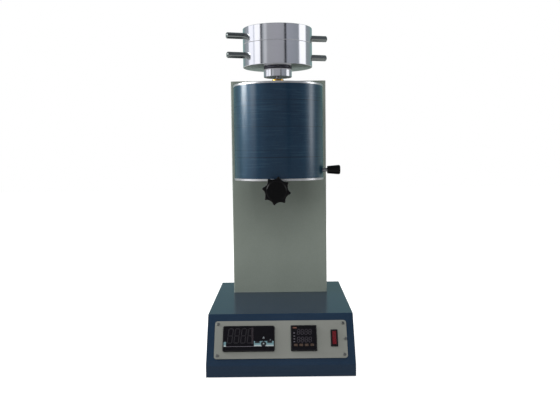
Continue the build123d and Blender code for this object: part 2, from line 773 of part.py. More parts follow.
def power_switch_body():
    """Black frame and body of the rocker switch, with the well that the rocker sits in."""
    low = PANEL_THICK - SWITCH_DEPTH
    top = PANEL_THICK + SWITCH_PROUD
    frame = pad(SWITCH_WIDTH, SWITCH_HEIGHT, 1.2, PANEL_THICK, top, SWITCH_U, METER_V)
    frame = chamfer(frame.faces().sort_by(Axis.Z)[-1].edges(), 0.5)
    frame += pad(
        SWITCH_WIDTH - SWITCH_WALL,
        SWITCH_HEIGHT - SWITCH_WALL,
        1,
        low,
        PANEL_THICK,
        SWITCH_U,
        METER_V,
    )
    frame -= pad(
        SWITCH_WIDTH - 2 * SWITCH_RIM_U,
        SWITCH_HEIGHT - 2 * SWITCH_RIM_V,
        0.5,
        low + SWITCH_WALL,
        top + 1,
        SWITCH_U,
        METER_V,
    )
    reach = SWITCH_WIDTH / 2 - SWITCH_RIM_U + SWITCH_RIM_U / 2
    hole = bar_x(ROCKER_PIVOT_RADIUS + ROD_FIT, -reach, reach, 0, 0)
    return on_slope(frame - Pos(SWITCH_U, METER_V, ROCKER_PIVOT) * hole)


def power_switch_rocker():
    """Red rocker with its pivot pin, at rest with its upper end out."""
    half_width = SWITCH_WIDTH / 2 - SWITCH_RIM_U - ROCKER_GAP
    half_height = SWITCH_HEIGHT / 2 - SWITCH_RIM_V - ROCKER_GAP
    half_depth = ROCKER_DEPTH / 2
    half_height -= half_depth * math.tan(math.radians(ROCKER_TILT))
    outline = Plane.YZ * make_face(
        Polyline(
            (-half_height, -half_depth),
            (-half_height, half_depth + ROCKER_CROWN),
            (0, half_depth),
            (half_height, half_depth + ROCKER_CROWN),
            (half_height, -half_depth),
            close=True,
        )
    )
    rocker = extrude(outline, half_width, both=True)
    reach = half_width + ROCKER_GAP + SWITCH_RIM_U / 2 - ROCKER_GAP
    rocker += bar_x(ROCKER_PIVOT_RADIUS, -reach, reach, 0, 0)
    rocker = Rot(ROCKER_TILT, 0, 0) * rocker
    return on_slope(Pos(SWITCH_U, METER_V, ROCKER_PIVOT) * rocker)


def column_shell():
    """Folded column: front, sides and top, with flanges round its foot and its back."""
    x = (-COLUMN_X, COLUMN_X)
    shell = block(x, (COLUMN_FRONT, COLUMN_BACK), (BASE_TOP, COLUMN_TOP))
    shell = fillet(shell.edges().filter_by(Axis.Z), BEND_RADIUS)
    inner_x = (SHEET - COLUMN_X, COLUMN_X - SHEET)
    inner_y = (COLUMN_FRONT + SHEET, COLUMN_BACK - SHEET)
    shell -= block(inner_x, inner_y, (BASE_TOP + SHEET, COLUMN_TOP - SHEET))
    open_x = (COLUMN_FLANGE - COLUMN_X, COLUMN_X - COLUMN_FLANGE)
    open_y = (COLUMN_FRONT + COLUMN_FLANGE, COLUMN_BACK - COLUMN_FLANGE)
    shell -= block(open_x, open_y, (BASE_TOP - 1, BASE_TOP + 2 * SHEET))
    open_z = (BASE_TOP + COLUMN_FLANGE, COLUMN_TOP - COLUMN_FLANGE)
    shell -= block(open_x, (COLUMN_BACK - 2 * SHEET, COLUMN_BACK + 1), open_z)
    for place_x, y in column_bolt_places():
        shell -= upright(M6[0] + HOLE_GAP, BASE_TOP - 1, BASE_TOP + 2 * SHEET, place_x, y)
    for place_x, z in bracket_bolt_places():
        wall = (COLUMN_FRONT - 1, COLUMN_FRONT + 2 * SHEET)
        shell -= bar_y(M6[0] + HOLE_GAP, *wall, place_x, z)
    shell -= bar_y(
        CONDUIT_RADIUS + HOLE_GAP, COLUMN_FRONT - 1, COLUMN_FRONT + 2 * SHEET, 0, PROBE_Z
    )
    for place_x, z in cover_screw_places():
        wall = (COLUMN_BACK - 2 * SHEET, COLUMN_BACK + 1)
        shell -= bar_y(M4[0] + ROD_FIT, *wall, place_x, z)
    return shell


def column_rear_cover():
    """Flat cover over the open back of the column."""
    cover = block(
        (COVER_MARGIN - COLUMN_X, COLUMN_X - COVER_MARGIN),
        (COLUMN_BACK, COLUMN_BACK + SHEET),
        (BASE_TOP + COVER_MARGIN, COLUMN_TOP - COVER_MARGIN),
    )
    cover = fillet(cover.edges().filter_by(Axis.Y), COVER_MARGIN)
    for x, z in cover_screw_places():
        cover -= bar_y(M4[0] + HOLE_GAP, COLUMN_BACK - 1, COLUMN_BACK + 2 * SHEET, x, z)
    return cover


def column_rear_screws():
    """Screws of the rear cover."""
    face = COLUMN_BACK + SHEET
    turn = Rot(-90, 0, 0)
    return [Pos(x, face, z) * turn * screw(M4, 4 * SHEET) for x, z in cover_screw_places()]


def column_backing_plate():
    """Thick strap inside the column front that takes the weight of the furnace."""
    plate = block(
        (-BACKING_WIDTH / 2, BACKING_WIDTH / 2),
        (COLUMN_FRONT + SHEET, COLUMN_FRONT + SHEET + BACKING_THICK),
        (FURNACE_Z - BACKING_MARGIN, FURNACE_TOP),
    )
    wall = (COLUMN_FRONT, COLUMN_FRONT + 2 * SHEET + BACKING_THICK)
    for x, z in bracket_bolt_places():
        plate -= bar_y(M6[0] + HOLE_GAP, *wall, x, z)
    return plate - bar_y(CONDUIT_RADIUS + HOLE_GAP, *wall, 0, PROBE_Z)


def frame_bolts():
    """Bolts and nuts at the column's foot and through the furnace brackets."""
    pieces = []
    for x, y in column_bolt_places():
        for piece in bolt_and_nut(2 * SHEET):
            pieces.append(Pos(x, y, BASE_TOP + SHEET) * piece)
    for x, z in bracket_bolt_places():
        place = Pos(x, COLUMN_FRONT - BRACKET_THICK, z) * Rot(90, 0, 0)
        for piece in bolt_and_nut(BRACKET_THICK + SHEET + BACKING_THICK):
            pieces.append(place * piece)
    return pieces


def furnace_bracket(upper):
    """Angle between a furnace plate and the column front."""
    x = (-BRACKET_WIDTH / 2, BRACKET_WIDTH / 2)
    shelf_y = (COLUMN_FRONT - FURNACE_GAP - BRACKET_OVERLAP, COLUMN_FRONT)
    wall_y = (COLUMN_FRONT - BRACKET_THICK, COLUMN_FRONT)
    if upper:
        shelf = (FURNACE_TOP, FURNACE_TOP + BRACKET_THICK)
        wall = (FURNACE_TOP - BRACKET_HEIGHT, FURNACE_TOP)
    else:
        shelf = (FURNACE_Z - BRACKET_THICK, FURNACE_Z)
        wall = (FURNACE_Z, FURNACE_Z + BRACKET_HEIGHT)
    bracket = block(x, shelf_y, shelf) + block(x, wall_y, wall)
    for place_x, z in bracket_bolt_places():
        bracket -= bar_y(
            M6[0] + HOLE_GAP, wall_y[0] - 1, wall_y[1] + 1, place_x, z
        )
    for place_x, y in bracket_screw_places():
        bracket -= upright(M4[0] + HOLE_GAP, shelf[0] - 1, shelf[1] + 1, place_x, y)
    return bracket


def furnace_plate(low, high, hole, flush_side):
    """Round end plate of the furnace with its screw holes and a hole on the axis."""
    plate = upright(PLATE_RADIUS, low, high)
    plate = chamfer(plate.edges().filter_by(GeomType.CIRCLE), PLATE_LIP / 2)
    plate -= upright(hole, low - 1, high + 1)
    face = high if flush_side > 0 else low
    for x, y in spacer_places():
        place = Pos(x, FURNACE_Y + y, face) * Rot(0 if flush_side > 0 else 180, 0, 0)
        plate -= place * flush_hole(M4, high - low + 1)
    for x, y in bracket_screw_places():
        plate -= upright(M4[0] + ROD_FIT, low - 1, high + 1, x, y)
    return plate


def furnace_bottom_plate():
    """Lower end plate. The strand cutter's bearing hangs from it."""
    plate = furnace_plate(FURNACE_Z, JACKET_Z, DIE_DROP_HOLE + STRAND_MARGIN, -1)
    for y in bearing_screw_places():
        plate -= Pos(CUTTER_X, y, JACKET_Z) * flush_hole(M4, BOTTOM_PLATE + 1)
    return plate


def bearing_screw_places():
    """Places along Y of the two screws that hold the cutter's bearing block."""
    margin = BEARING_LENGTH / 5
    return [BEARING_FRONT + margin, BEARING_BACK - margin]


def furnace_top_plate():
    """Upper end plate, with the barrel's mouth in its middle."""
    return furnace_plate(JACKET_TOP, FURNACE_TOP, BARREL_RADIUS + BARREL_FIT, 1)


def furnace_plate_screws():
    """Countersunk screws of the furnace: plates to spacers, brackets and bearing block."""
    screws = []
    thread = 3 * M4[0]
    for x, y in spacer_places():
        top = Pos(x, FURNACE_Y + y, FURNACE_TOP)
        screws.append(top * flush_screw(M4, TOP_PLATE + thread))
        below = Pos(x, FURNACE_Y + y, FURNACE_Z) * Rot(180, 0, 0)
        screws.append(below * flush_screw(M4, BOTTOM_PLATE + thread))
    for x, y in bracket_screw_places():
        top = Pos(x, y, FURNACE_TOP + BRACKET_THICK)
        screws.append(top * screw(M4, BRACKET_THICK + TOP_PLATE))
        below = Pos(x, y, FURNACE_Z - BRACKET_THICK) * Rot(180, 0, 0)
        screws.append(below * screw(M4, BRACKET_THICK + BOTTOM_PLATE))
    for y in bearing_screw_places():
        screws.append(Pos(CUTTER_X, y, JACKET_Z) * flush_screw(M4, BOTTOM_PLATE + thread))
    return screws


def pull_rod_slot(start, end):
    """Upright slot that the pull rod passes through."""
    outline = Plane.YZ * RectangleRounded(SLOT_WIDTH, SLOT_HEIGHT, SLOT_WIDTH * 0.49)
    return Pos(start, FURNACE_Y, SLIDE_Z) * extrude(outline, end - start)


def furnace_jacket():
    """Blue sheet jacket between the two end plates."""
    jacket = upright(JACKET_RADIUS, JACKET_Z, JACKET_TOP)
    jacket -= upright(JACKET_RADIUS - JACKET_SHEET, JACKET_Z - 1, JACKET_TOP + 1)
    jacket -= pull_rod_slot(JACKET_RADIUS / 2, JACKET_RADIUS + 1)
    edge = FURNACE_Y + JACKET_RADIUS
    return jacket - bar_y(CONDUIT_RADIUS + HOLE_GAP, edge - 4 * JACKET_SHEET, edge + 1, 0, PROBE_Z)


def furnace_insulation():
    """Ceramic fibre between the heaters and the jacket."""
    outer = JACKET_RADIUS - JACKET_SHEET - INSULATION_GAP
    wool = upright(outer, JACKET_Z, JACKET_TOP)
    wool -= upright(INSULATION_BORE, JACKET_Z - 1, JACKET_TOP + 1)
    wool -= pull_rod_slot(INSULATION_BORE - BORE_OVERLAP, JACKET_RADIUS)
    half_width = SLIDE_WIDTH / 2 + CUT_OUT_GAP
    half_height = SLIDE_THICK / 2 + CUT_OUT_GAP
    wool -= block(
        (INSULATION_BORE - BORE_OVERLAP, GUIDE_RADIUS + SLIDE_SHOULDER + SLIDE_TRAVEL + CUT_OUT_GAP),
        (FURNACE_Y - half_width, FURNACE_Y + half_width),
        (SLIDE_Z - half_height, SLIDE_Z + half_height),
    )
    for x, y in spacer_places():
        wool -= upright(
            SPACER_RADIUS + INSULATION_GAP, JACKET_Z - 1, JACKET_TOP + 1, x, FURNACE_Y + y
        )
    inner = FURNACE_Y + INSULATION_BORE - BORE_OVERLAP
    wool -= bar_y(PROBE_RADIUS + INSULATION_GAP, inner, FURNACE_Y + outer + 1, 0, PROBE_Z)
    conduit = CONDUIT_RADIUS + INSULATION_GAP
    wool -= bar_y(conduit, conduit_start(), FURNACE_Y + outer + 1, 0, PROBE_Z)
    for y in bearing_screw_places():
        wool -= upright(M4[1] + 1, JACKET_Z - 1, JACKET_Z + 1, CUTTER_X, y)
    return wool


def furnace_spacer_rods():
    """Rods that hold the end plates apart, tapped at both ends."""
    rods = []
    depth = 4 * M4[0]
    for x, y in spacer_places():
        place = (x, FURNACE_Y + y)
        rod = upright(SPACER_RADIUS, JACKET_Z, JACKET_TOP, *place)
        rod -= upright(M4[0] + ROD_FIT, JACKET_Z - 1, JACKET_Z + depth, *place)
        rod -= upright(M4[0] + ROD_FIT, JACKET_TOP - depth, JACKET_TOP + 1, *place)
        rods.append(rod)
    return rods


def heating_block():
    """Round metal block that carries the heat from the bands to the barrel."""
    heater = upright(BLOCK_RADIUS, GUIDE_TOP, BLOCK_TOP)
    heater -= upright(BARREL_RADIUS + BARREL_FIT, GUIDE_TOP - 1, BLOCK_TOP + 1)
    start = FURNACE_Y + PROBE_DEPTH
    return heater - bar_y(PROBE_RADIUS + ROD_FIT, start, FURNACE_Y + BLOCK_RADIUS + 1, 0, PROBE_Z)


def band_heaters():
    """Two split heater bands clamped round the block."""
    bands = []
    low = GUIDE_TOP + HEATER_MARGIN
    high = BLOCK_TOP - HEATER_MARGIN - HEATER_HEIGHT
    for start in (low, high):
        band = upright(BLOCK_RADIUS + HEATER_THICK, start, start + HEATER_HEIGHT)
        band -= upright(BLOCK_RADIUS + BARREL_FIT, start - 1, start + HEATER_HEIGHT + 1)
        band -= block(
            (-HEATER_SPLIT / 2, HEATER_SPLIT / 2),
            (FURNACE_Y, FURNACE_Y + 2 * BLOCK_RADIUS),
            (start - 1, start + HEATER_HEIGHT + 1),
        )
        bands.append(band)
    return bands


def temperature_probe():
    """Sensor rod in the heating block, between the two heater bands."""
    start = FURNACE_Y + PROBE_DEPTH + ROD_FIT
    return bar_y(PROBE_RADIUS, start, conduit_start() + CONDUIT_REACH, 0, PROBE_Z)


def conduit_start():
    """Inner end of the wire conduit, inside the jacket."""
    return FURNACE_Y + JACKET_RADIUS - CONDUIT_REACH


def wire_conduit():
    """Short tube that takes the heater and sensor wires into the column."""
    end = COLUMN_FRONT + SHEET + BACKING_THICK + CONDUIT_REACH
    tube = bar_y(CONDUIT_RADIUS, conduit_start(), end, 0, PROBE_Z)
    collar = (COLUMN_FRONT - CONDUIT_COLLAR_THICK, COLUMN_FRONT)
    tube += bar_y(CONDUIT_COLLAR, *collar, 0, PROBE_Z)
    inner = CONDUIT_RADIUS - CONDUIT_WALL
    return tube - bar_y(inner, conduit_start() - 1, end + 1, 0, PROBE_Z)


def slide_guide():
    """Round seat under the heating block, grooved across for the die slide."""
    seat = upright(GUIDE_RADIUS, JACKET_Z, GUIDE_TOP)
    seat -= upright(DIE_DROP_HOLE, JACKET_Z - 1, GUIDE_TOP + 1)
    half = SLIDE_WIDTH / 2 + SLIDE_FIT
    floor = SLIDE_Z - SLIDE_THICK / 2 - SLIDE_FIT
    return seat - block(
        (-SLIDE_TAIL - 2, GUIDE_RADIUS + 1),
        (FURNACE_Y - half, FURNACE_Y + half),
        (floor, GUIDE_TOP + 1),
    )


def die_slide():
    """Flat slide under the die, with the strand's hole, and its pull rod."""
    plate = block(
        (-SLIDE_TAIL, GUIDE_RADIUS + SLIDE_SHOULDER),
        (FURNACE_Y - SLIDE_WIDTH / 2, FURNACE_Y + SLIDE_WIDTH / 2),
        (SLIDE_Z - SLIDE_THICK / 2, SLIDE_Z + SLIDE_THICK / 2),
    )
    plate = fillet(plate.edges().filter_by(Axis.Z), 2)
    plate -= upright(STRAND_HOLE, SLIDE_Z - SLIDE_THICK, SLIDE_Z + SLIDE_THICK)
    end = GRIP_START + GRIP_SOCKET - ROD_FIT
    return plate + bar_x(PULL_ROD_RADIUS, GUIDE_RADIUS + 1, end, FURNACE_Y, SLIDE_Z)


def slide_grip():
    """Tapered black grip on the end of the pull rod."""
    end = GRIP_START + GRIP_LENGTH
    outline = Plane.XZ * make_face(
        Polyline(
            (GRIP_START, 0),
            (GRIP_START, GRIP_INNER_RADIUS),
            (end, GRIP_OUTER_RADIUS),
            (end, 0),
            close=True,
        )
    )
    grip = revolve(outline, Axis.X)
    rims = grip.edges().filter_by(GeomType.CIRCLE).sort_by(Axis.X)
    grip = fillet(rims[-1], GRIP_ROUND)
    grip = fillet(grip.edges().filter_by(GeomType.CIRCLE).sort_by(Axis.X)[0], GRIP_ROUND / 4)
    socket = bar_x(PULL_ROD_RADIUS + ROD_FIT, GRIP_START - 1, GRIP_START + GRIP_SOCKET, 0, 0)
    return Pos(0, FURNACE_Y, SLIDE_Z) * (grip - socket)


def barrel():
    """Hardened barrel that the sample is melted in."""
    tube = upright(BARREL_RADIUS, GUIDE_TOP, FURNACE_TOP)
    tube -= upright(BARREL_BORE, GUIDE_TOP - 1, FURNACE_TOP + 1)
    return tube


def die():
    """Carbide die in the foot of the barrel."""
    return upright(DIE_RADIUS, GUIDE_TOP, DIE_TOP) - upright(DIE_BORE, GUIDE_TOP - 1, DIE_TOP + 1)


def guide_bush():
    """Brass bush in the barrel's mouth that keeps the piston rod upright."""
    spigot = BARREL_BORE - BUSH_SPIGOT_GAP
    low = FURNACE_TOP - BUSH_SPIGOT
    step = BUSH_TOP - BUSH_STEP_HEIGHT
    bore = PISTON_ROD_RADIUS + ROD_FIT
    return turned(
        [
            (bore, low),
            (spigot, low),
            (spigot, FURNACE_TOP),
            (BUSH_RADIUS, FURNACE_TOP),
            (BUSH_RADIUS, step - 0.8),
            (BUSH_RADIUS - 0.8, step),
            (BUSH_STEP_RADIUS, step),
            (BUSH_STEP_RADIUS, BUSH_TOP - 0.8),
            (BUSH_STEP_RADIUS - 0.8, BUSH_TOP),
            (bore, BUSH_TOP),
        ]
    )


def piston():
    """Piston: head, rod and the two fine marks that show where the test starts."""
    rod = upright(PISTON_HEAD_RADIUS, DIE_TOP, DIE_TOP + PISTON_HEAD_HEIGHT)
    rod += upright(PISTON_ROD_RADIUS, DIE_TOP, TRAY_Z + TRAY_SOCKET)
    for i in (1, 2):
        low = FURNACE_TOP - i * PISTON_MARK_PITCH
        ring = upright(PISTON_ROD_RADIUS + 1, low, low + PISTON_MARK_WIDTH)
        rod -= ring - upright(PISTON_ROD_RADIUS - PISTON_MARK_DEPTH, low - 1, low + 2)
    return rod


def weight_tray():
    """Chromed tray on top of the piston rod, with a fine seam round it."""
    tray = upright(TRAY_RADIUS, TRAY_Z, TRAY_TOP)
    tray = chamfer(tray.edges().filter_by(GeomType.CIRCLE), WEIGHT_EDGE)
    seam = TRAY_Z + TRAY_SEAM_HEIGHT
    ring = upright(TRAY_RADIUS + 1, seam, seam + SEAM_WIDTH)
    tray -= ring - upright(TRAY_RADIUS - SEAM_DEPTH, seam - 1, seam + 2)
    tray -= upright(PISTON_ROD_RADIUS + ROD_FIT, TRAY_Z - 1, TRAY_Z + TRAY_SOCKET)
    return tray - pin_socket(TRAY_TOP)


def pin_socket(top):
    """Round socket that the pin of the weight above drops into."""
    return upright(WEIGHT_PIN_RADIUS + WEIGHT_PIN_GAP, top - WEIGHT_PIN_HEIGHT - 1, top + 1)


def weight(low, high, turn):
    """Chromed disc weight with a centring pin below, a socket on top and handle holes."""
    disc = upright(WEIGHT_RADIUS, low, high)
    disc = chamfer(disc.edges().filter_by(GeomType.CIRCLE), WEIGHT_EDGE)
    disc += upright(WEIGHT_PIN_RADIUS, low - WEIGHT_PIN_HEIGHT, low)
    disc -= pin_socket(high)
    start = WEIGHT_RADIUS - HANDLE_SEAT - ROD_FIT
    for side in (0, 180):
        hole = bar_x(HANDLE_RADIUS + ROD_FIT, start, WEIGHT_RADIUS + 1, 0, (low + high) / 2)
        disc -= Pos(0, FURNACE_Y, 0) * Rot(0, 0, turn + side) * hole
    return disc


def weight_handles(low, high, turn):
    """Two bars screwed into the side of a weight to lift it by."""
    bars = []
    for side in (0, 180):
        start = WEIGHT_RADIUS - HANDLE_SEAT
        handle = bar_x(HANDLE_RADIUS, start, HANDLE_REACH, 0, (low + high) / 2)
        rims = handle.edges().filter_by(GeomType.CIRCLE).sort_by(Axis.X)
        handle = chamfer(rims[-1], HANDLE_CHAMFER)
        bars.append(Pos(0, FURNACE_Y, 0) * Rot(0, 0, turn + side) * handle)
    return bars


def cutter_bearing():
    """Bearing block of the strand cutter, under the front of the bottom plate."""
    house = block(
        (CUTTER_X - BEARING_WIDTH / 2, CUTTER_X + BEARING_WIDTH / 2),
        (BEARING_FRONT, BEARING_BACK),
        (CUTTER_Z - BEARING_BELOW, FURNACE_Z),
    )
    house = fillet(house.edges().filter_by(Axis.Y).group_by(Axis.Z)[0], BEARING_BELOW / 2)
    bore = SHAFT_RADIUS + ROD_FIT
    house -= bar_y(bore, BEARING_FRONT - 1, BEARING_BACK + 1, CUTTER_X, CUTTER_Z)
    depth = 3.5 * M4[0]
    for y in bearing_screw_places():
        house -= upright(M4[0] + ROD_FIT, FURNACE_Z - depth, FURNACE_Z + 1, CUTTER_X, y)
    return house


def cutter_shaft():
    """Shaft of the strand cutter with its shoulder behind the bearing."""
    start = KNOB_FRONT + KNOB_WALL
    shaft = bar_y(SHAFT_RADIUS, start, SHAFT_END, CUTTER_X, CUTTER_Z)
    low = BEARING_BACK + AXIAL_GAP
    shoulder = (low, low + SHAFT_COLLAR_LENGTH)
    return shaft + bar_y(SHAFT_COLLAR_RADIUS, *shoulder, CUTTER_X, CUTTER_Z)


def cutter_blade():
    """Thin blade on a hub. It swings just under the hole that the strand comes from."""
    tip = CUTTER_DROP - BLADE_TIP_GAP
    hub_y = (SHAFT_END - BLADE_HUB_LENGTH, SHAFT_END)
    hub = bar_y(BLADE_HUB_RADIUS, *hub_y, CUTTER_X, CUTTER_Z)
    half = BLADE_THICK / 2
    blade = block(
        (CUTTER_X - tip, CUTTER_X - BLADE_HUB_RADIUS + 1),
        (hub_y[0], FURNACE_Y + BLADE_BEYOND),
        (CUTTER_Z - half, CUTTER_Z + half),
    )
    bore = SHAFT_RADIUS + ROD_FIT
    return hub + blade - bar_y(bore, hub_y[0] - 1, hub_y[1] + 1, CUTTER_X, CUTTER_Z)


def cutter_knob():
    """Black star knob with a raised round middle and a hub behind."""
    star = Circle(KNOB_RADIUS)
    reach = KNOB_RADIUS - KNOB_SCALLOP_DEPTH + KNOB_SCALLOP_RADIUS
    start = KNOB_TURN + 180 / KNOB_LOBES
    for place in PolarLocations(reach, KNOB_LOBES, start_angle=start):
        star -= place * Circle(KNOB_SCALLOP_RADIUS)
    knob = extrude(star, KNOB_THICK)
    knob = fillet(knob.edges().filter_by(Axis.Z), KNOB_BLEND)
    rims = knob.faces().sort_by(Axis.Z)
    knob = fillet(rims[-1].edges() + rims[0].edges(), KNOB_EDGE)
    disc = Pos(0, 0, KNOB_THICK + KNOB_DISC_PROUD / 2) * Cylinder(
        KNOB_DISC_RADIUS, KNOB_DISC_PROUD
    )
    knob += chamfer(disc.edges().sort_by(Axis.Z)[-1], KNOB_DISC_PROUD / 2)
    hub = Pos(0, 0, -KNOB_HUB_LENGTH / 2) * Cylinder(KNOB_HUB_RADIUS, KNOB_HUB_LENGTH)
    knob += hub
    depth = KNOB_HUB_LENGTH + KNOB_THICK - KNOB_WALL + ROD_FIT
    bore = Cylinder(SHAFT_RADIUS + ROD_FIT, depth)
    knob -= Pos(0, 0, depth / 2 - KNOB_HUB_LENGTH) * bore
    return Pos(CUTTER_X, KNOB_BACK, CUTTER_Z) * Rot(90, 0, 0) * knob


def model():
    """Every node of the instrument by name."""
    timer_keys = range(3)
    controller_keys = range(CONTROLLER_KEY_COUNT)
    parts = {
        "base_housing": base_housing(),
        "base_floor_plate": base_floor_plate(),
        "base_rear_panel": base_rear_panel(),
        "base_screws": base_screws(),
        "rubber_feet": rubber_feet(),
        "mains_inlet": mains_inlet(),
        "mains_inlet_pins": mains_inlet_pins(),
        "mains_fuse_holder": mains_fuse_holder(),
        "relay_heatsink": relay_heatsink(),
        "solid_state_relay": solid_state_relay(),
        "terminal_block": terminal_block(),
        "front_panel": front_panel(),
        "front_panel_screws": front_panel_screws(),
        "timer_case": meter_case(TIMER_WIDTH, TIMER_CORNER, TIMER_U),
        "timer_fascia": meter_fascia(
            TIMER_WIDTH, TIMER_U, [timer_key(i, KEY_GAP) for i in timer_keys]
        ),
        "controller_case": meter_case(CONTROLLER_WIDTH, CONTROLLER_CORNER, CONTROLLER_U),
        "controller_fascia": meter_fascia(
            CONTROLLER_WIDTH, CONTROLLER_U, [controller_key(i, KEY_GAP) for i in controller_keys]
        ),
        "power_switch_body": power_switch_body(),
        "power_switch_rocker": power_switch_rocker(),
        "column_shell": column_shell(),
        "column_rear_cover": column_rear_cover(),
        "column_rear_screws": column_rear_screws(),
        "column_backing_plate": column_backing_plate(),
        "frame_bolts": frame_bolts(),
        "furnace_bracket_lower": furnace_bracket(False),
        "furnace_bracket_upper": furnace_bracket(True),
        "furnace_bottom_plate": furnace_bottom_plate(),
        "furnace_top_plate": furnace_top_plate(),
        "furnace_plate_screws": furnace_plate_screws(),
        "furnace_jacket": furnace_jacket(),
        "furnace_insulation": furnace_insulation(),
        "furnace_spacer_rods": furnace_spacer_rods(),
        "heating_block": heating_block(),
        "band_heaters": band_heaters(),
        "temperature_probe": temperature_probe(),
        "wire_conduit": wire_conduit(),
        "slide_guide": slide_guide(),
        "die_slide": die_slide(),
        "slide_grip": slide_grip(),
        "barrel": barrel(),
        "die": die(),
        "guide_bush": guide_bush(),
        "piston": piston(),
        "weight_tray": weight_tray(),
        "lower_weight": weight(TRAY_TOP, LOWER_TOP, LOWER_HANDLE_TURN),
        "lower_weight_handles": weight_handles(TRAY_TOP, LOWER_TOP, LOWER_HANDLE_TURN),
        "upper_weight": weight(LOWER_TOP, UPPER_TOP, UPPER_HANDLE_TURN),
        "upper_weight_handles": weight_handles(LOWER_TOP, UPPER_TOP, UPPER_HANDLE_TURN),
        "cutter_bearing": cutter_bearing(),
        "cutter_shaft": cutter_shaft(),
        "cutter_blade": cutter_blade(),
        "cutter_knob": cutter_knob(),
    }
    for i, name in enumerate(("left", "middle", "right")):
        parts["timer_key_" + name] = on_slope(timer_key(i))
    for i in controller_keys:
        parts[f"controller_key_{i + 1}"] = on_slope(controller_key(i))
    return parts


def main():
    """Write one STEP file for each node."""
    os.makedirs("parts", exist_ok=True)
    for name, shape in model().items():
        solids = shape if isinstance(shape, list) else [shape]
        solids = [solid for piece in solids for solid in piece.solids()]
        whole = solids[0] if len(solids) == 1 else Compound(children=solids)
        export_step(whole, f"parts/{name}.step")


main()
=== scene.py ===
# %% [markdown]
# # A melt flow tester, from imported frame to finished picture
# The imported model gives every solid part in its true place, in metres. Blender adds what solid
# modelling leaves plain: paint with its orange peel, chrome, turned steel, smoked meter windows
# and the marks behind them. Nothing here moves a part, so the picture and the model stay one.

# %% Load the frame
import json
import math
import bmesh
import bpy
from mathutils import Matrix, Vector


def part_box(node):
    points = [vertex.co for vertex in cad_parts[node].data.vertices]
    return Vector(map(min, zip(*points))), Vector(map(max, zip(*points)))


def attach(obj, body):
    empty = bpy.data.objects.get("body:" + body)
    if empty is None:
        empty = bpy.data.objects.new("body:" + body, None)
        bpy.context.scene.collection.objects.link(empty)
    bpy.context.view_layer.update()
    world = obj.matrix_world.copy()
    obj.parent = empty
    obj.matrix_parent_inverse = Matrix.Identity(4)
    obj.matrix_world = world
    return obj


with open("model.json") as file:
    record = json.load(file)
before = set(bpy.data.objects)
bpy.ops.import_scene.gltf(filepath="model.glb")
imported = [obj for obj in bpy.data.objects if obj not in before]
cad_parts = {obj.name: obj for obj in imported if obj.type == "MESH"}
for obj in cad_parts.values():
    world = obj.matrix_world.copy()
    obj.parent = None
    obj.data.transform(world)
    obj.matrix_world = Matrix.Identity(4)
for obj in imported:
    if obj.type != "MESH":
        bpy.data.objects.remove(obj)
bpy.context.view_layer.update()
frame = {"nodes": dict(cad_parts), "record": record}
nodes = frame["nodes"]
MM_PER_M = 1000

# %% [markdown]
# ## The camera
# The photograph was taken from just in front of the tester, a little above the middle of it,
# with the camera tilted slightly down and rolled by under one degree. A camera that copies that
# place gives the same widening of the base and the same thin view of the furnace's top plate.

# %% Camera
CAMERA_PLACE = Vector((0.0046, -1.335, 0.4078))
YAW, PITCH, ROLL = 0.00244, 0.0712, 0.0118
SENSOR = 36
FOCAL_PIXELS, PICTURE_WIDTH = 650, 560
LENS = FOCAL_PIXELS * SENSOR / PICTURE_WIDTH
ahead = Vector((-math.sin(YAW), math.cos(YAW), 0))
right = Vector((math.cos(YAW), math.sin(YAW), 0))
forward = ahead * math.cos(PITCH) - Vector((0, 0, math.sin(PITCH)))
up = ahead * math.sin(PITCH) + Vector((0, 0, math.cos(PITCH)))
side = right * math.cos(ROLL) - up * math.sin(ROLL)
top = right * math.sin(ROLL) + up * math.cos(ROLL)
eye = bpy.data.objects.new("camera", bpy.data.cameras.new("camera"))
bpy.context.scene.collection.objects.link(eye)
turn = Matrix((side, top, -forward)).transposed().to_4x4()
eye.matrix_world = Matrix.Translation(CAMERA_PLACE) @ turn
eye.data.lens = LENS
eye.data.sensor_width = SENSOR
eye.data.sensor_fit = "HORIZONTAL"
bpy.context.scene.camera = eye
bpy.context.scene.view_settings.view_transform = "Standard"
print("lens, mm:", round(LENS, 2))

# %% [markdown]
# ## Three helpers for materials
# Colours are read off as hex values, which are sRGB, while shaders work with linear light, so
# one function converts them. A second one adds a shader node with its settings and its inputs.
# An input can be a number, a colour or another node, which is then linked. A third one sets
# inputs of a material's main shader by name.


# %% Colour and node helpers
def linear(hex_colour):
    """Linear red, green, blue and alpha of an sRGB hex colour."""
    channels = [int(hex_colour[i : i + 2], 16) / 255 for i in (1, 3, 5)]
    bright = [c / 12.92 if c < 0.04045 else ((c + 0.055) / 1.055) ** 2.4 for c in channels]
    return (*bright, 1.0)


def add(tree, kind, inputs, **settings):
    """Adds one node. inputs maps socket names or numbers to values or nodes."""
    made = tree.nodes.new("ShaderNode" + kind)
    for name, value in settings.items():
        setattr(made, name, value)
    for name, value in inputs.items():
        if isinstance(value, bpy.types.Node):
            value = next(s for s in value.outputs if s.enabled)
        if isinstance(value, bpy.types.NodeSocket):
            tree.links.new(value, made.inputs[name])
        else:
            made.inputs[name].default_value = value
    return made


def tune(material, values):
    """Sets inputs of a material's main shader."""
    shader = material.node_tree.nodes["Principled BSDF"]
    for name, value in values.items():
        shader.inputs[name].default_value = value


print("black, white:", linear("#000000")[0], linear("#FFFFFF")[0])

# %% [markdown]
# ## One way to start a finish
# Paint, plating and plastic differ in colour and gloss, yet each has a tone that wanders, a
# gloss that wanders with it and a fine relief. The function makes those three from one noise,
# whose scale comes from a real size in millimetres. The stretch draws that noise out along an
# axis, as brushing or turning does. Special marks are added to the result afterwards.


# %% Surface finish
# The sum of two noises mostly stays between these.
NOISE_LOW, NOISE_HIGH = 0.7, 1.3
BUMP_STRENGTH = 0.6


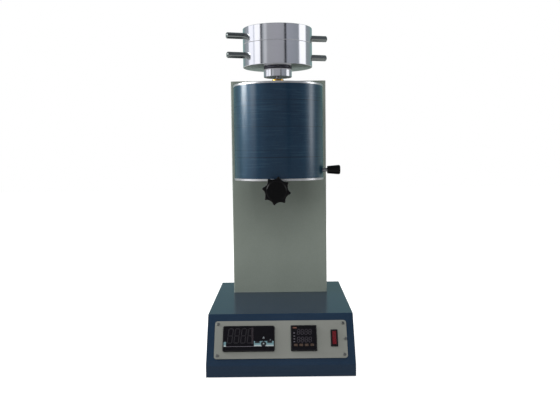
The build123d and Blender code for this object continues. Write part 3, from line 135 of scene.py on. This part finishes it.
def finish(name, tones, rough, grain, relief=0.0, stretch=(1, 1, 1), metal=0.0, blotch=60.0):
    """A material. Tones are two hex colours, rough is the gloss range, grain is in mm."""
    made = bpy.data.materials.new(name)
    made.use_nodes = True
    tree = made.node_tree
    place = add(tree, "TexCoord", {})
    steps = tuple(s * MM_PER_M / grain for s in stretch)
    fine_at = add(tree, "Mapping", {"Vector": place.outputs["Object"], "Scale": steps})
    fine = add(tree, "TexNoise", {"Vector": fine_at, "Scale": 1.0, "Detail": 3.0})
    wide = add(
        tree,
        "TexNoise",
        {"Vector": place.outputs["Object"], "Scale": MM_PER_M / blotch, "Detail": 4.0},
    )
    both = add(tree, "Math", {0: fine, 1: wide}, operation="ADD")
    spread = {"Value": both, "From Min": NOISE_LOW, "From Max": NOISE_HIGH}
    share = add(tree, "MapRange", spread)
    tone = add(
        tree,
        "Mix",
        {0: share, 6: linear(tones[0]), 7: linear(tones[1])},
        data_type="RGBA",
    )
    gloss = add(tree, "MapRange", {**spread, "To Min": rough[0], "To Max": rough[1]})
    tune(made, {"Metallic": metal})
    shader = tree.nodes["Principled BSDF"]
    tree.links.new(tone.outputs[2], shader.inputs["Base Color"])
    tree.links.new(gloss.outputs[0], shader.inputs["Roughness"])
    if relief:
        depth = {"Distance": relief / MM_PER_M, "Strength": BUMP_STRENGTH}
        bump = add(tree, "Bump", {"Height": fine, **depth})
        tree.links.new(bump.outputs[0], shader.inputs["Normal"])
    return made


print("finish noise runs, in sum, from", NOISE_LOW, "to", NOISE_HIGH)


# %% [markdown]
# ## Painted sheet metal
# The base and the column are folded mild steel with baked enamel, sprayed and stoved. That
# leaves a fine orange peel of two or three millimetres, drawn at that size with a relief of a
# few hundredths. The blue is dark and glossy enough for the base's top to mirror the column
# and the white behind it. The column's putty grey is flatter. The control face is a painted
# aluminium plate with a satin, slightly warm grey.

# %% Enamels
blue_enamel = finish("baked_enamel_blue", ("#162739", "#192B3E"), (0.17, 0.23), 2.4, 0.02)
grey_enamel = finish("baked_enamel_putty_grey", ("#7B837B", "#818981"), (0.38, 0.46), 2.0, 0.02)
panel_grey = finish("satin_painted_aluminium", ("#6F716C", "#757772"), (0.42, 0.5), 1.2, 0.01)
for paint, shine in ((blue_enamel, 0.22), (grey_enamel, 0.3), (panel_grey, 0.3)):
    tune(paint, {"Specular IOR Level": shine})
print("enamels:", blue_enamel.name, grey_enamel.name, panel_grey.name)

# %% [markdown]
# ## The furnace jacket
# The jacket is a rolled sheet with a blue coating: a layer with a little metal flake under a
# clear glossy one. The flake gives a wide glow in the coating's own colour at both sides, and
# the clear layer gives the narrower highlights, so the shader uses a rough, partly metallic
# base under a smooth coat, and a teal edge tint, as such flake turns greener at a low angle.
# Cleaning and handling leave thin level marks that run round it. Long ones are dark scuffs and
# short ones are rubs, given a paler tone as a painted glint for the light they catch. Both are
# noise squeezed to rings two or three millimetres high. Real ones are finer, and are drawn as
# coarse as shows.


# %% Jacket coating
MARK_DEPTH = 0.04


def level_marks(tree, scale, start, full):
    """A mask of level rings: noise that is squeezed in height, cut between two values."""
    place = add(tree, "TexCoord", {})
    rings_at = add(tree, "Mapping", {"Vector": place.outputs["Object"], "Scale": scale})
    rings = add(tree, "TexNoise", {"Vector": rings_at, "Scale": 1.0, "Detail": 2.0})
    return add(tree, "MapRange", {"Value": rings, "From Min": start, "From Max": full})


def scuffed(name, tones, rough, scuff, rub_glint):
    """Flake coating with dark scuffs and rubs that run round it; the rubs' paler tone is a painted
    glint.
    """
    made = finish(name, tones, rough, 3.0, metal=0.6, blotch=45.0)
    tree = made.node_tree
    shader = tree.nodes["Principled BSDF"]
    tone = shader.inputs["Base Color"].links[0].from_socket
    gloss = shader.inputs["Roughness"].links[0].from_socket
    long_marks = level_marks(tree, (0.8, 0.8, 300), 0.6, 0.68)
    short_marks = level_marks(tree, (22, 22, 420), 0.54, 0.68)
    dark = add(tree, "Math", {0: long_marks, 1: 0.7}, operation="MULTIPLY")
    pale = add(tree, "Math", {0: short_marks, 1: 0.12}, operation="MULTIPLY")
    # The rubs' paler tone is a painted glint: it stands in for light that the rubs catch.
    rubbed_and_glinting = add(tree, "Mix", {0: pale, 6: tone, 7: linear(rub_glint)}, data_type="RGBA")
    mixed = add(
        tree, "Mix", {0: dark, 6: rubbed_and_glinting.outputs[2], 7: linear(scuff)}, data_type="RGBA"
    )
    dulled = add(tree, "Math", {0: long_marks, 1: 0.2, 2: gloss}, operation="MULTIPLY_ADD")
    both = add(tree, "Math", {0: long_marks, 1: short_marks}, operation="ADD")
    depth = {"Distance": MARK_DEPTH / MM_PER_M, "Strength": BUMP_STRENGTH}
    relief = add(tree, "Bump", {"Height": both, **depth})
    tree.links.new(mixed.outputs[2], shader.inputs["Base Color"])
    tree.links.new(dulled.outputs[0], shader.inputs["Roughness"])
    tree.links.new(relief.outputs[0], shader.inputs["Coat Normal"])
    return made


jacket_blue = scuffed(
    "glossy_blue_flake_coating", ("#0D2840", "#122F47"), (0.4, 0.48), "#0A141D", "#3E5C70"
)
tune(jacket_blue, {"Specular IOR Level": 0.2, "Specular Tint": (0.25, 1.0, 0.95, 1.0)})
tune(jacket_blue, {"Coat Weight": 1.0, "Coat IOR": 1.5, "Coat Roughness": 0.22})
print("jacket:", jacket_blue.name)

# %% [markdown]
# ## Plated, polished and turned metal
# The weights and the tray are chrome plated after polishing, so they mirror the room with only
# a breath of haze and faint turning rings. Their bars are a darker chrome. The furnace's two
# end plates are polished stainless steel. Everything out of sight is still given its own
# metal: zinc sheet with a crystal pattern, ground tool steel, bronze and brass.

# %% Bright metals
turned = (0.02, 0.02, 1)
chrome = finish(
    "polished_chrome_plate", ("#E0E1E6", "#E9EAEE"), (0.1, 0.15), 0.9, 0.0003, turned, 1.0
)
dark_chrome = finish(
    "dark_chrome_plate", ("#7C8281", "#8A908F"), (0.12, 0.2), 0.9, 0.001, metal=1.0
)
polished_plate = finish(
    "polished_stainless_plate", ("#CDCED0", "#DADBDD"), (0.26, 0.36), 0.8, 0.002, (1, 0.03, 1), 1.0
)
dull_screw = finish(
    "dulled_nickel_screw", ("#626463", "#7A7C7B"), (0.4, 0.55), 0.7, 0.003, metal=0.8
)
screw_steel = finish(
    "nickel_plated_screw", ("#8F8F8E", "#A9A9A7"), (0.28, 0.4), 0.7, 0.003, metal=1.0
)
bracket_steel = finish(
    "zinc_plated_steel", ("#8D9092", "#A4A8AA"), (0.35, 0.5), 1.0, 0.004, (1, 0.04, 1), 1.0
)
tool_steel = finish(
    "ground_tool_steel", ("#77787B", "#8E8F92"), (0.25, 0.36), 0.8, 0.003, turned, 1.0
)
carbide = finish("lapped_carbide", ("#5A5B60", "#66676C"), (0.18, 0.26), 0.5, 0.001, metal=1.0)
block_bronze = finish(
    "turned_bronze", ("#8A6238", "#A0753F"), (0.3, 0.42), 0.9, 0.004, turned, 1.0
)
brass = finish("turned_brass", ("#B98B3C", "#CBA052"), (0.2, 0.3), 0.8, 0.003, turned, 1.0)
pin_brass = finish("plated_brass_pin", ("#C7AE70", "#D6C083"), (0.2, 0.3), 0.6, 0.001, metal=1.0)
heater_sheath = finish(
    "heater_sheath_steel", ("#6E655A", "#877C6C"), (0.4, 0.55), 1.2, 0.01, turned, 1.0
)
heatsink = finish(
    "extruded_aluminium", ("#8B8C90", "#9D9EA2"), (0.4, 0.5), 0.8, 0.004, (1, 1, 0.04), 1.0
)
zinc_sheet = finish(
    "zinc_coated_sheet", ("#8E9193", "#A5A8AA"), (0.36, 0.5), 1.5, 0.004, metal=1.0
)
CRYSTAL = 9.0
spangle = zinc_sheet.node_tree
crystals_at = add(spangle, "TexCoord", {})
crystals = add(
    spangle,
    "TexVoronoi",
    {"Vector": crystals_at.outputs["Object"], "Scale": MM_PER_M / CRYSTAL},
)
zinc_gloss = add(
    spangle, "MapRange", {"Value": crystals.outputs["Color"], "To Min": 0.3, "To Max": 0.55}
)
zinc_shader = spangle.nodes["Principled BSDF"]
spangle.links.new(zinc_gloss.outputs[0], zinc_shader.inputs["Roughness"])
print("metals made, zinc crystals of, mm:", CRYSTAL)

# %% [markdown]
# ## Plastics, rubber and ceramic fibre
# The star knob and the grip are phenolic, pressed in a polished mould and dulled by hands. The
# meters' frames and the switch are fine-textured black moulding, drawn with a grain of under
# a millimetre. Their front sheets are smoked acrylic, so they are nearly black with a sharp
# gloss. The rocker is a clear red moulding, so it gets a thin coat over its deep red.

# %% Plastics and the rest
black_knob = finish("pressed_phenolic_black", ("#020203", "#040405"), (0.2, 0.28), 1.6, 0.015)
black_moulding = finish("textured_black_moulding", ("#09090C", "#0E0E11"), (0.4, 0.52), 0.8, 0.02)
fascia_black = finish("smoked_acrylic_sheet", ("#060509", "#0A090E"), (0.12, 0.18), 5.0)
key_black = finish("moulded_key_black", ("#15161A", "#1C1D22"), (0.35, 0.45), 0.8, 0.01)
key_amber = finish("moulded_key_amber", ("#30241D", "#3D2D23"), (0.38, 0.48), 0.8, 0.01)
rocker_red = finish("clear_red_rocker", ("#500912", "#600E18"), (0.2, 0.3), 1.2, 0.008)
relay_plastic = finish("moulded_relay_case", ("#1B1B1E", "#232326"), (0.45, 0.55), 0.8, 0.02)
terminal_plastic = finish("moulded_melamine", ("#C3BDA8", "#D0CAB6"), (0.4, 0.5), 0.9, 0.015)
foot_rubber = finish("moulded_rubber", ("#101010", "#191919"), (0.7, 0.85), 0.9, 0.03)
insulation = finish(
    "ceramic_fibre_board", ("#D6D3CA", "#E4E1D9"), (0.85, 0.95), 0.8, 0.12, (1, 1, 0.2)
)
mouldings = (black_knob, 0.16), (black_moulding, 0.25), (key_black, 0.25), (rocker_red, 0.2)
for moulding, shine in mouldings:
    tune(moulding, {"Specular IOR Level": shine})
tune(rocker_red, {"Coat Weight": 0.15, "Coat Roughness": 0.12})
tune(fascia_black, {"IOR": 1.49, "Specular IOR Level": 0.25})
print("mouldings with their own shine:", len(mouldings))

# %% [markdown]
# ## Dressing the frame
# Each part's record names the slot its finish belongs to. One table from slot to material
# dresses all of them, and a missing slot would stop the script here. The control face's screws
# are duller than the others, so they get a material of their own.

# %% Dress the frame
materials = {
    "blue_enamel": blue_enamel,
    "jacket_blue": jacket_blue,
    "grey_enamel": grey_enamel,
    "panel_grey": panel_grey,
    "zinc_sheet": zinc_sheet,
    "bracket_steel": bracket_steel,
    "screw_steel": screw_steel,
    "polished_plate": polished_plate,
    "tool_steel": tool_steel,
    "carbide": carbide,
    "block_bronze": block_bronze,
    "heater_sheath": heater_sheath,
    "insulation": insulation,
    "brass": brass,
    "pin_brass": pin_brass,
    "chrome": chrome,
    "dark_chrome": dark_chrome,
    "heatsink": heatsink,
    "black_moulding": black_moulding,
    "black_knob": black_knob,
    "fascia_black": fascia_black,
    "key_black": key_black,
    "key_amber": key_amber,
    "rocker_red": rocker_red,
    "relay_plastic": relay_plastic,
    "terminal_plastic": terminal_plastic,
    "foot_rubber": foot_rubber,
}
for part in frame["record"]["subparts"]:
    skin = nodes[part["node"]].data
    skin.materials.clear()
    skin.materials.append(materials[part["material_slot"]])
nodes["front_panel_screws"].data.materials[0] = dull_screw

# %% [markdown]
# ## Drawing on the sloped face
# The meters' marks lie on the sloped control face. It is easiest to place them with a ruler on
# that face: so many millimetres to the right, up the slope and out from it. One function turns
# such a triple into a point of the frame, and one turns flat outlines into a thin plate with a
# softened edge, which is how printed or moulded marks really stand on a sheet.

# %% Helpers for the sloped face
KNEE = Vector((0, -0.179, 0.0243))
OUT_OF_FACE = Vector((0, -82.1, 53.1)).normalized()
UP_FACE = Vector((0, 53.1, 82.1)).normalized()
FASCIA = 5.4
KEY_TOP = 6.1
TIMER_AT = (-59.0, 49.0)
CONTROLLER_AT = (42.7, 49.0)


def on_face(u, v, w):
    """A point of the frame, from millimetres along, up and out of the sloped face."""
    return KNEE + (Vector((u, 0, 0)) + UP_FACE * v + OUT_OF_FACE * w) / MM_PER_M


def face_marks(name, outlines, low, thick, material, body="frame"):
    """One thin plate for each outline of (u, v) corners, given anticlockwise."""
    work = bmesh.new()
    for outline in outlines:
        foot = [work.verts.new(on_face(u, v, low)) for u, v in outline]
        rim = [work.verts.new(on_face(u, v, low + thick)) for u, v in outline]
        work.faces.new(rim)
        work.faces.new(foot[::-1])
        for i in range(len(outline)):
            j = (i + 1) % len(outline)
            work.faces.new((foot[i], foot[j], rim[j], rim[i]))
    mesh = bpy.data.meshes.new(name)
    work.to_mesh(mesh)
    work.free()
    mesh.materials.append(material)
    made = bpy.data.objects.new(name, mesh)
    bpy.context.scene.collection.objects.link(made)
    soften = made.modifiers.new("softened_edge", "BEVEL")
    soften.width = thick / 4 / MM_PER_M
    soften.segments = 2
    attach(made, body)
    return made


def rounded(u, v, width, height, radius, steps=4):
    """Outline of a rectangle with round corners, about its middle (u, v)."""
    corners = []
    for quarter, (i, j) in enumerate(((1, 1), (-1, 1), (-1, -1), (1, -1))):
        for step in range(steps + 1):
            angle = math.radians(90 * quarter + 90 * step / steps)
            reach_u = i * (width / 2 - radius) + radius * math.cos(angle)
            reach_v = j * (height / 2 - radius) + radius * math.sin(angle)
            corners.append((u + reach_u, v + reach_v))
    return corners


def shifted(outlines, at):
    """The outlines moved to a meter's middle."""
    return [[(u + at[0], v + at[1]) for u, v in outline] for outline in outlines]


def meter_marks(name, outlines, at, thick, ink):
    """Marks on the front sheet of the meter whose middle is at."""
    return face_marks(name, shifted(outlines, at), FASCIA, thick, ink)


print("meters' middles on the face, mm:", TIMER_AT, CONTROLLER_AT)

# %% [markdown]
# ## Digits that are switched off
# Both meters have seven-segment displays behind the smoked sheet, and both are off, so every
# bar shows as a faint warm grey ghost. The bars are the usual pointed strips, slanted by a few
# degrees as display makers do. They are built as thin plates on the sheet, because a plate at
# this height reads the same as one seen through a dark window.


# %% Seven-segment ghosts
BAR_GAP = 0.25


def bar(a, b, half):
    """A strip from a to b with pointed ends."""
    along = (Vector(b) - Vector(a)).normalized()
    across = Vector((-along.y, along.x)) * half
    start, end = Vector(a) + along * half, Vector(b) - along * half
    ring = (Vector(a), start - across, end - across, Vector(b), end + across, start + across)
    return [tuple(p) for p in ring]


def digit(u, v, width, height, half, slant=0.1):
    """The seven bars of one digit whose lower left corner is (u, v)."""
    middle = height / 2
    ends = (
        ((0, height), (width, height)),
        ((width, middle), (width, height)),
        ((width, 0), (width, middle)),
        ((0, 0), (width, 0)),
        ((0, 0), (0, middle)),
        ((0, middle), (0, height)),
        ((0, middle), (width, middle)),
    )
    bars = []
    for start, end in ends:
        gap = (Vector(end) - Vector(start)).normalized() * BAR_GAP
        strip = bar(Vector(start) + gap, Vector(end) - gap, half)
        bars.append([(u + p[0] + slant * p[1], v + p[1]) for p in strip])
    return bars


def number(u, v, count, pitch, width, height, half):
    """A row of digits."""
    return [s for i in range(count) for s in digit(u + i * pitch, v, width, height, half)]


print("bars in one digit:", len(digit(0, 0, 8.2, 27.0, 0.9)))

# %% [markdown]
# ## The timer's front
# The left meter has a wide dark display, a thin grey line under it, a strip of pale teal round
# its three keys, a small teal bar at the left and small printed arrows. Words that a maker
# prints there are left off. Each colour is ink on the back of the sheet, so it is matt with a
# slight mottling. Where marks lie over each other, each kind has its own height in millimetres,
# so that no two faces meet in one plane.

# %% Timer front
WINDOW_HIGH, STRIP_HIGH, PRINT_HIGH, BAND_HIGH, DIGIT_HIGH = 0.04, 0.05, 0.06, 0.07, 0.08
ghost_ink = finish("unlit_display_bar", ("#151317", "#1B191D"), (0.3, 0.4), 1.0)
warm_ink = finish("warm_display_band", ("#21181D", "#291E23"), (0.3, 0.4), 1.5)
teal_ink = finish("printed_teal_ink", ("#597880", "#65858B"), (0.4, 0.5), 1.5)
pale_ink = finish("printed_pale_ink", ("#8D999B", "#9AA4A6"), (0.4, 0.5), 1.5)
dim_ink = finish("printed_grey_ink", ("#4A474E", "#56535A"), (0.4, 0.5), 1.5)
window_black = finish("display_window_black", ("#060509", "#0B090F"), (0.1, 0.16), 4.0)
tune(window_black, {"Specular IOR Level": 0.25})
window = [rounded(-16.5, 5.0, 55.0, 35.0, 1.2)]
meter_marks("timer_window", window, TIMER_AT, WINDOW_HIGH, window_black)
timer_digits = number(-39.5, -8.5, 4, 12.2, 8.2, 27.0, 0.9)
meter_marks("timer_digits", timer_digits, TIMER_AT, DIGIT_HIGH, ghost_ink)
band = [rounded(6.6, 5.0, 3.4, 31.0, 0.5)]
meter_marks("timer_band", band, TIMER_AT, BAND_HIGH, warm_ink)
line = [rounded(-15.8, -15.0, 50.4, 0.9, 0.3)]
meter_marks("timer_line", line, TIMER_AT, PRINT_HIGH, dim_ink)
print("timer bars:", len(timer_digits))

# %% [markdown]
# ## The strip round the timer's keys
# The teal strip runs behind the keys and stops a hair short of each, so the keys can be pressed
# through it. It is built from outlines that fit together round the two flat keys, and from two
# that follow the round key's edge. Its lower part is a paler ink. Two arrows are printed above
# the keys, and a third is on the round key and so moves with it.

# %% Teal strip round the keys
KEY_U = (16.1, 27.4, 38.7)
KEY_HALF, KEY_FOOT = 4.4, -8.9
ROUND_KEY = (27.4, -10.5)
ROUND_GAP = 5.0
STRIP_LEFT, STRIP_RIGHT = 9.8, 46.0
STRIP_LOW, STRIP_JOIN, STRIP_TOP = -14.9, -12.4, -5.2


def between(left, right, low, high):
    """Outline of a rectangle between two u and two v values."""
    return rounded((left + right) / 2, (low + high) / 2, right - left, high - low, 0.15, 2)


def beside_round_key(side, outer, low, high):
    """Outline from outer to the round key's edge, on its left (-1) or right (1)."""
    edge = []
    for step in range(9):
        v = low + (high - low) * step / 8
        across = max(ROUND_GAP**2 - (v - ROUND_KEY[1]) ** 2, 0.0) ** 0.5
        edge.append((ROUND_KEY[0] + side * max(across, 0.02), v))
    ring = [(outer, high), (outer, low), *edge]
    return ring if side < 0 else ring[::-1]


def strip(low, high):
    """Outlines of the strip between two heights, clear of the three keys."""
    return [
        between(STRIP_LEFT, KEY_U[0] - KEY_HALF, low, high),
        beside_round_key(-1, KEY_U[0] + KEY_HALF, low, high),
        beside_round_key(1, KEY_U[2] - KEY_HALF, low, high),
        between(KEY_U[2] + KEY_HALF, STRIP_RIGHT, low, high),
    ]


teal = strip(STRIP_JOIN, STRIP_TOP)
pale = strip(STRIP_LOW, STRIP_JOIN)
for middle in (KEY_U[0], KEY_U[2]):
    teal.append(between(middle - KEY_HALF, middle + KEY_HALF, STRIP_JOIN, KEY_FOOT))
    pale.append(between(middle - KEY_HALF, middle + KEY_HALF, STRIP_LOW, STRIP_JOIN))
teal.append(rounded(-44.0, -9.3, 4.4, 6.4, 0.5))
pale.append(rounded(-44.0, -14.0, 4.4, 2.8, 0.5))
meter_marks("timer_teal", teal, TIMER_AT, STRIP_HIGH, teal_ink)
meter_marks("timer_pale", pale, TIMER_AT, STRIP_HIGH, pale_ink)


def arrow(u, v, size):
    """A small triangle that points up the slope."""
    angles = [math.radians(90 + 120 * k) for k in range(3)]
    return [(u + size * math.cos(a), v + size * math.sin(a)) for a in angles]


arrow_ink = finish("printed_arrow_ink", ("#62696D", "#6E7579"), (0.4, 0.5), 1.5)
arrows = [arrow(27.4, 1.0, 2.6), arrow(39.8, -3.4, 1.7)]
meter_marks("timer_arrows", arrows, TIMER_AT, PRINT_HIGH, arrow_ink)
key_arrow = [arrow(27.4, -10.3, 1.8)]
face_marks(
    "timer_key_arrow",
    shifted(key_arrow, TIMER_AT),
    KEY_TOP,
    STRIP_HIGH,
    pale_ink,
    "timer_key_middle",
)
print("teal cells:", len(teal), "pale cells:", len(pale))

# %% [markdown]
# ## The temperature controller's front
# The right meter shows a measured value over a set value, four small lamps at the left and an
# orange mark above them. All of it is off. The two rows are drawn in the same way as the
# timer's digits.

# %% Controller front
orange_ink = finish("printed_orange_ink", ("#55342A", "#623E33"), (0.4, 0.5), 1.5)
controller_ink = finish("unlit_controller_bar", ("#252228", "#2E2A30"), (0.3, 0.4), 1.0)
windows = [rounded(1.2, 11.4, 30.0, 12.6, 0.8), rounded(1.2, -3.2, 30.0, 12.6, 0.8)]
meter_marks("controller_windows", windows, CONTROLLER_AT, WINDOW_HIGH, window_black)
rows = [s for v in (6.6, -8.0) for s in number(-12.4, v, 4, 7.1, 4.6, 9.4, 0.6)]
meter_marks("controller_digits", rows, CONTROLLER_AT, DIGIT_HIGH, controller_ink)
lamps = [rounded(-17.6, v, 3.0, 1.5, 0.4) for v in (9.4, 3.6, -1.8, -7.0)]
meter_marks("controller_lamps", lamps, CONTROLLER_AT, PRINT_HIGH, dim_ink)
mark = [rounded(-16.4, 19.3, 7.5, 2.4, 0.5)]
meter_marks("controller_mark", mark, CONTROLLER_AT, PRINT_HIGH, orange_ink)
print("controller bars:", len(rows))

# %% [markdown]
# ## A band of painted shade on the tray
# Just under the weights the tray gets a dark band of painted shade: it stands in for the shadow
# in the gap under the weights and their dark reflection in the tray's top edge. It is a thin
# turned ring, a hair wider than the tray. It rides on the piston's body.

# %% Painted shade band
TRAY_RADIUS, BAND_HEIGHT = 0.0276, 0.0036
BAND_PROUD, BAND_DEEP, BAND_BELOW_TOP = 0.0001, 0.0004, 0.0003
# Painted shade: a dark chrome tone for the shadow and the dark reflection just under the weights.
tray_shade_band = finish(
    "painted_shade_chrome", ("#3A3840", "#4A4850"), (0.2, 0.3), 0.9, 0.0006, turned, 1.0
)
tray_low, tray_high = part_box("weight_tray")
AXIS = (Vector(tray_low) + Vector(tray_high)) / 2


def turned_ring(name, radius, inner, low, high, material, body, segments=96):
    """A ring turned about the furnace's axis, from its inner to its outer radius."""
    work = bmesh.new()
    turns = [2 * math.pi * k / segments for k in range(segments)]
    rim = [(math.cos(t), math.sin(t)) for t in turns]
    loops = []
    for across, z in ((inner, low), (radius, low), (radius, high), (inner, high)):
        places = [(AXIS.x + across * x, AXIS.y + across * y, z) for x, y in rim]
        loops.append([work.verts.new(place) for place in places])
    for ring, following in zip(loops, loops[1:] + loops[:1]):
        for k in range(segments):
            j = (k + 1) % segments
            work.faces.new((ring[k], ring[j], following[j], following[k]))
    for face in work.faces:
        face.smooth = len(face.verts) == 4 and abs(face.normal.z) < 0.5
    mesh = bpy.data.meshes.new(name)
    work.to_mesh(mesh)
    work.free()
    mesh.materials.append(material)
    made = bpy.data.objects.new(name, mesh)
    bpy.context.scene.collection.objects.link(made)
    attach(made, body)
    return made


top_of_band = tray_high[2] - BAND_BELOW_TOP
# The ring is painted shade, which the real tray doesn't have.
turned_ring(
    "tray_painted_shade_band",
    TRAY_RADIUS + BAND_PROUD,
    TRAY_RADIUS - BAND_DEEP,
    top_of_band - BAND_HEIGHT,
    top_of_band,
    tray_shade_band,
    "piston",
)
print("band height, mm:", BAND_HEIGHT * MM_PER_M)

# %% [markdown]
# ## Light and surroundings
# The tester stands before a white backdrop in a plain room. A mirror shows the room it is in,
# so the world gives each kind of ray its own picture: an even fill for matt surfaces, white for
# the camera, and a pale room for gloss. One ramp holds that room by compass angle, with white
# panels that give the chrome its bands and dark gaps between its walls. Another dims it by
# height, as its floor and ceiling are less bright. A gain over one makes a panel brighter than
# white, which dull gloss needs to show it.

# %% World
world = bpy.data.worlds.new("room")
bpy.context.scene.world = world
world.use_nodes = True
air = world.node_tree
air.nodes.clear()
FILL = 0.4
BACKDROP = 1.0
ray = add(air, "LightPath", {})
look = add(air, "TexCoord", {})
parts = add(air, "SeparateXYZ", {"Vector": look.outputs["Generated"]})
toward = add(air, "Math", {0: parts.outputs["Y"], 1: -1.0}, operation="MULTIPLY")
angle = add(air, "Math", {0: parts.outputs["X"], 1: toward}, operation="ARCTAN2")
compass = add(air, "MapRange", {"Value": angle, "From Min": -math.pi, "From Max": math.pi})
walls = add(air, "ValToRGB", {"Fac": compass})
ROOM = (
    (-180, "#8CAAA8", 1),
    (-150, "#8CAAA8", 1),
    (-135, "#969FA1", 1),
    (-121, "#AEB4BA", 1),
    (-112, "#A6ACB2", 1),
    (-108, "#F8F9FF", 1.4),
    (-87, "#F8F9FF", 1.4),
    (-84, "#A9B2C4", 1),
    (-81, "#FCFCFF", 1.45),
    (-60, "#FCFCFF", 1.45),
    (-57, "#3A3E44", 1),
    (-54, "#3A3E44", 1),
    (-50, "#9EA2A6", 1),
    (-43, "#D8DADE", 1),
    (-38, "#D8DADE", 1),
    (-33, "#AEAFB3", 1),
    (0, "#AEAEB4", 1),
    (22, "#A9AAAF", 1),
    (24, "#1C1E22", 1),
    (28, "#1C1E22", 1),
    (31, "#A7AAB3", 1),
    (75, "#9A9FA6", 1),
    (78, "#FCFCFF", 1.5),
    (106, "#FCFCFF", 1.5),
    (109, "#9AA2A6", 1),
    (132, "#96A1A3", 1),
    (150, "#8CAAA8", 1),
    (180, "#8CAAA8", 1),
)
stops = walls.color_ramp.elements
while len(stops) < len(ROOM):
    stops.new(0.5)
for stop, (degrees, colour, gain) in zip(stops, ROOM):
    stop.position = (degrees + 180) / 360
    stop.color = tuple(channel * gain for channel in linear(colour))
fill = add(air, "Background", {"Color": linear("#FFFFFF"), "Strength": FILL})
HEIGHTS = (
    (-1.0, 0.43),
    (-0.02, 0.46),
    (0.05, 0.48),
    (0.13, 0.86),
    (0.35, 0.95),
    (0.6, 0.55),
    (1.0, 0.55),
)
rise = add(air, "MapRange", {"Value": parts.outputs["Z"], "From Min": -1.0})
dimming = add(air, "ValToRGB", {"Fac": rise})
levels = dimming.color_ramp.elements
while len(levels) < len(HEIGHTS):
    levels.new(0.5)
for level, (height, share) in zip(levels, HEIGHTS):
    level.position = (height + 1) / 2
    level.color = (share, share, share, 1)
mirror = add(air, "Background", {"Color": walls, "Strength": dimming})
white = add(air, "Background", {"Color": linear("#FFFFFF"), "Strength": BACKDROP})
bright = add(air, "MixShader", {0: ray.outputs["Is Glossy Ray"], 1: fill, 2: mirror})
clear = add(
    air,
    "Math",
    {0: ray.outputs["Is Camera Ray"], 1: ray.outputs["Is Transmission Ray"]},
    operation="MAXIMUM",
)
seen = add(air, "MixShader", {0: clear, 1: bright, 2: white})
add(air, "OutputWorld", {"Surface": seen})
print("room stops:", len(ROOM), "height stops:", len(HEIGHTS))

# %% [markdown]
# ## Parts that the lamps leave out
# A lamp is a small bright rectangle, many times brighter than the white room. Paint needs that
# for its highlights, but a mirror would show it as a hard white hole. Light linking leaves the
# weights and their tray out of every lamp, so they mirror the softer bands of the room instead.

# %% Chromed parts
mirrors = bpy.data.collections.new("chromed_parts")
for name in ("weight_tray", "lower_weight", "upper_weight"):
    mirrors.objects.link(nodes[name])
for member in mirrors.collection_objects:
    member.light_linking.link_state = "EXCLUDE"

# %% [markdown]
# ## Soft boxes
# Soft boxes at both sides give the jacket its long highlights, the left one most. Large ones
# above, before and behind give shape to matt surfaces, and are hidden from gloss, which has the
# room to mirror. Two weak ones low at the back give the column's sides a faint light.


# %% Soft boxes
def soft_box(name, place, target, size, power):
    """A rectangular lamp that faces the target."""
    lamp = bpy.data.lights.new(name, "AREA")
    lamp.shape = "RECTANGLE"
    lamp.size, lamp.size_y = size
    lamp.energy = power
    made = bpy.data.objects.new(name, lamp)
    bpy.context.scene.collection.objects.link(made)
    made.location = place
    made.rotation_euler = (Vector(target) - Vector(place)).to_track_quat("-Z", "Y").to_euler()
    made.light_linking.receiver_collection = mirrors
    return made


FURNACE_AT, COLUMN_AT, MIDDLE = (0, 0, 0.45), (0, 0, 0.4), (0, 0, 0.35)
soft_box("left_box_back", (-1.75, 0.13, 1.14), FURNACE_AT, (0.52, 1.0), 28.0)
soft_box("left_box_front", (-1.65, -0.74, 1.12), FURNACE_AT, (0.5, 1.0), 5.0)
soft_box("right_box", (1.8, 0.0, 0.95), COLUMN_AT, (0.42, 1.2), 4.6)
for name, place, size, power in (
    ("top_box", (0.0, -0.5, 2.2), (1.2, 1.2), 4.0),
    ("front_box", (0.0, -2.1, 1.5), (1.8, 1.2), 34.0),
    ("back_box", (0.0, 2.3, 1.5), (1.8, 1.2), 24.0),
):
    soft_box(name, place, MIDDLE, size, power).visible_glossy = False
for name, x in (("left_low_box", -1.3), ("right_low_box", 1.3)):
    soft_box(name, (x, 1.1, 0.3), COLUMN_AT, (0.9, 0.62), 0.25)
print("soft boxes:", len(bpy.data.lights))

# %% [markdown]
# ## The floor
# The floor is a pale sheet. It glows for the camera, so it shows as white except where the
# tester takes light from it, and the shadow stays. Gloss sees a fifth of that glow. Its own
# colour lights the object from below as a real sheet of paper does.

# %% Floor
FLOOR_HALF, FLOOR_GLOW, GLOW_IN_GLOSS = 6.0, 0.92, 0.2
plate = bmesh.new()
bmesh.ops.create_grid(plate, x_segments=8, y_segments=8, size=FLOOR_HALF)
floor_mesh = bpy.data.meshes.new("floor")
plate.to_mesh(floor_mesh)
plate.free()
floor = bpy.data.objects.new("floor", floor_mesh)
bpy.context.scene.collection.objects.link(floor)
paper = bpy.data.materials.new("white_paper_sweep")
paper.use_nodes = True
sheet = paper.node_tree
sheet.nodes.clear()
floor_ray = add(sheet, "LightPath", {})
through_or_seen = add(
    sheet,
    "Math",
    {0: floor_ray.outputs["Is Camera Ray"], 1: floor_ray.outputs["Is Transmission Ray"]},
    operation="MAXIMUM",
)
plain = add(sheet, "BsdfDiffuse", {"Color": linear("#AAAAA8")})
glow = add(sheet, "Emission", {"Color": linear("#FFFFFF"), "Strength": FLOOR_GLOW})
shown = add(sheet, "AddShader", {0: plain, 1: glow})
glossy_share = add(
    sheet,
    "Math",
    {0: floor_ray.outputs["Is Glossy Ray"], 1: GLOW_IN_GLOSS},
    operation="MULTIPLY",
)
seen_by = add(sheet, "Math", {0: through_or_seen, 1: glossy_share}, operation="MAXIMUM")
floor_mix = add(sheet, "MixShader", {0: seen_by, 1: plain, 2: shown})
add(sheet, "OutputMaterial", {"Surface": floor_mix})
floor_mesh.materials.append(paper)
print("floor side, m:", 2 * FLOOR_HALF)
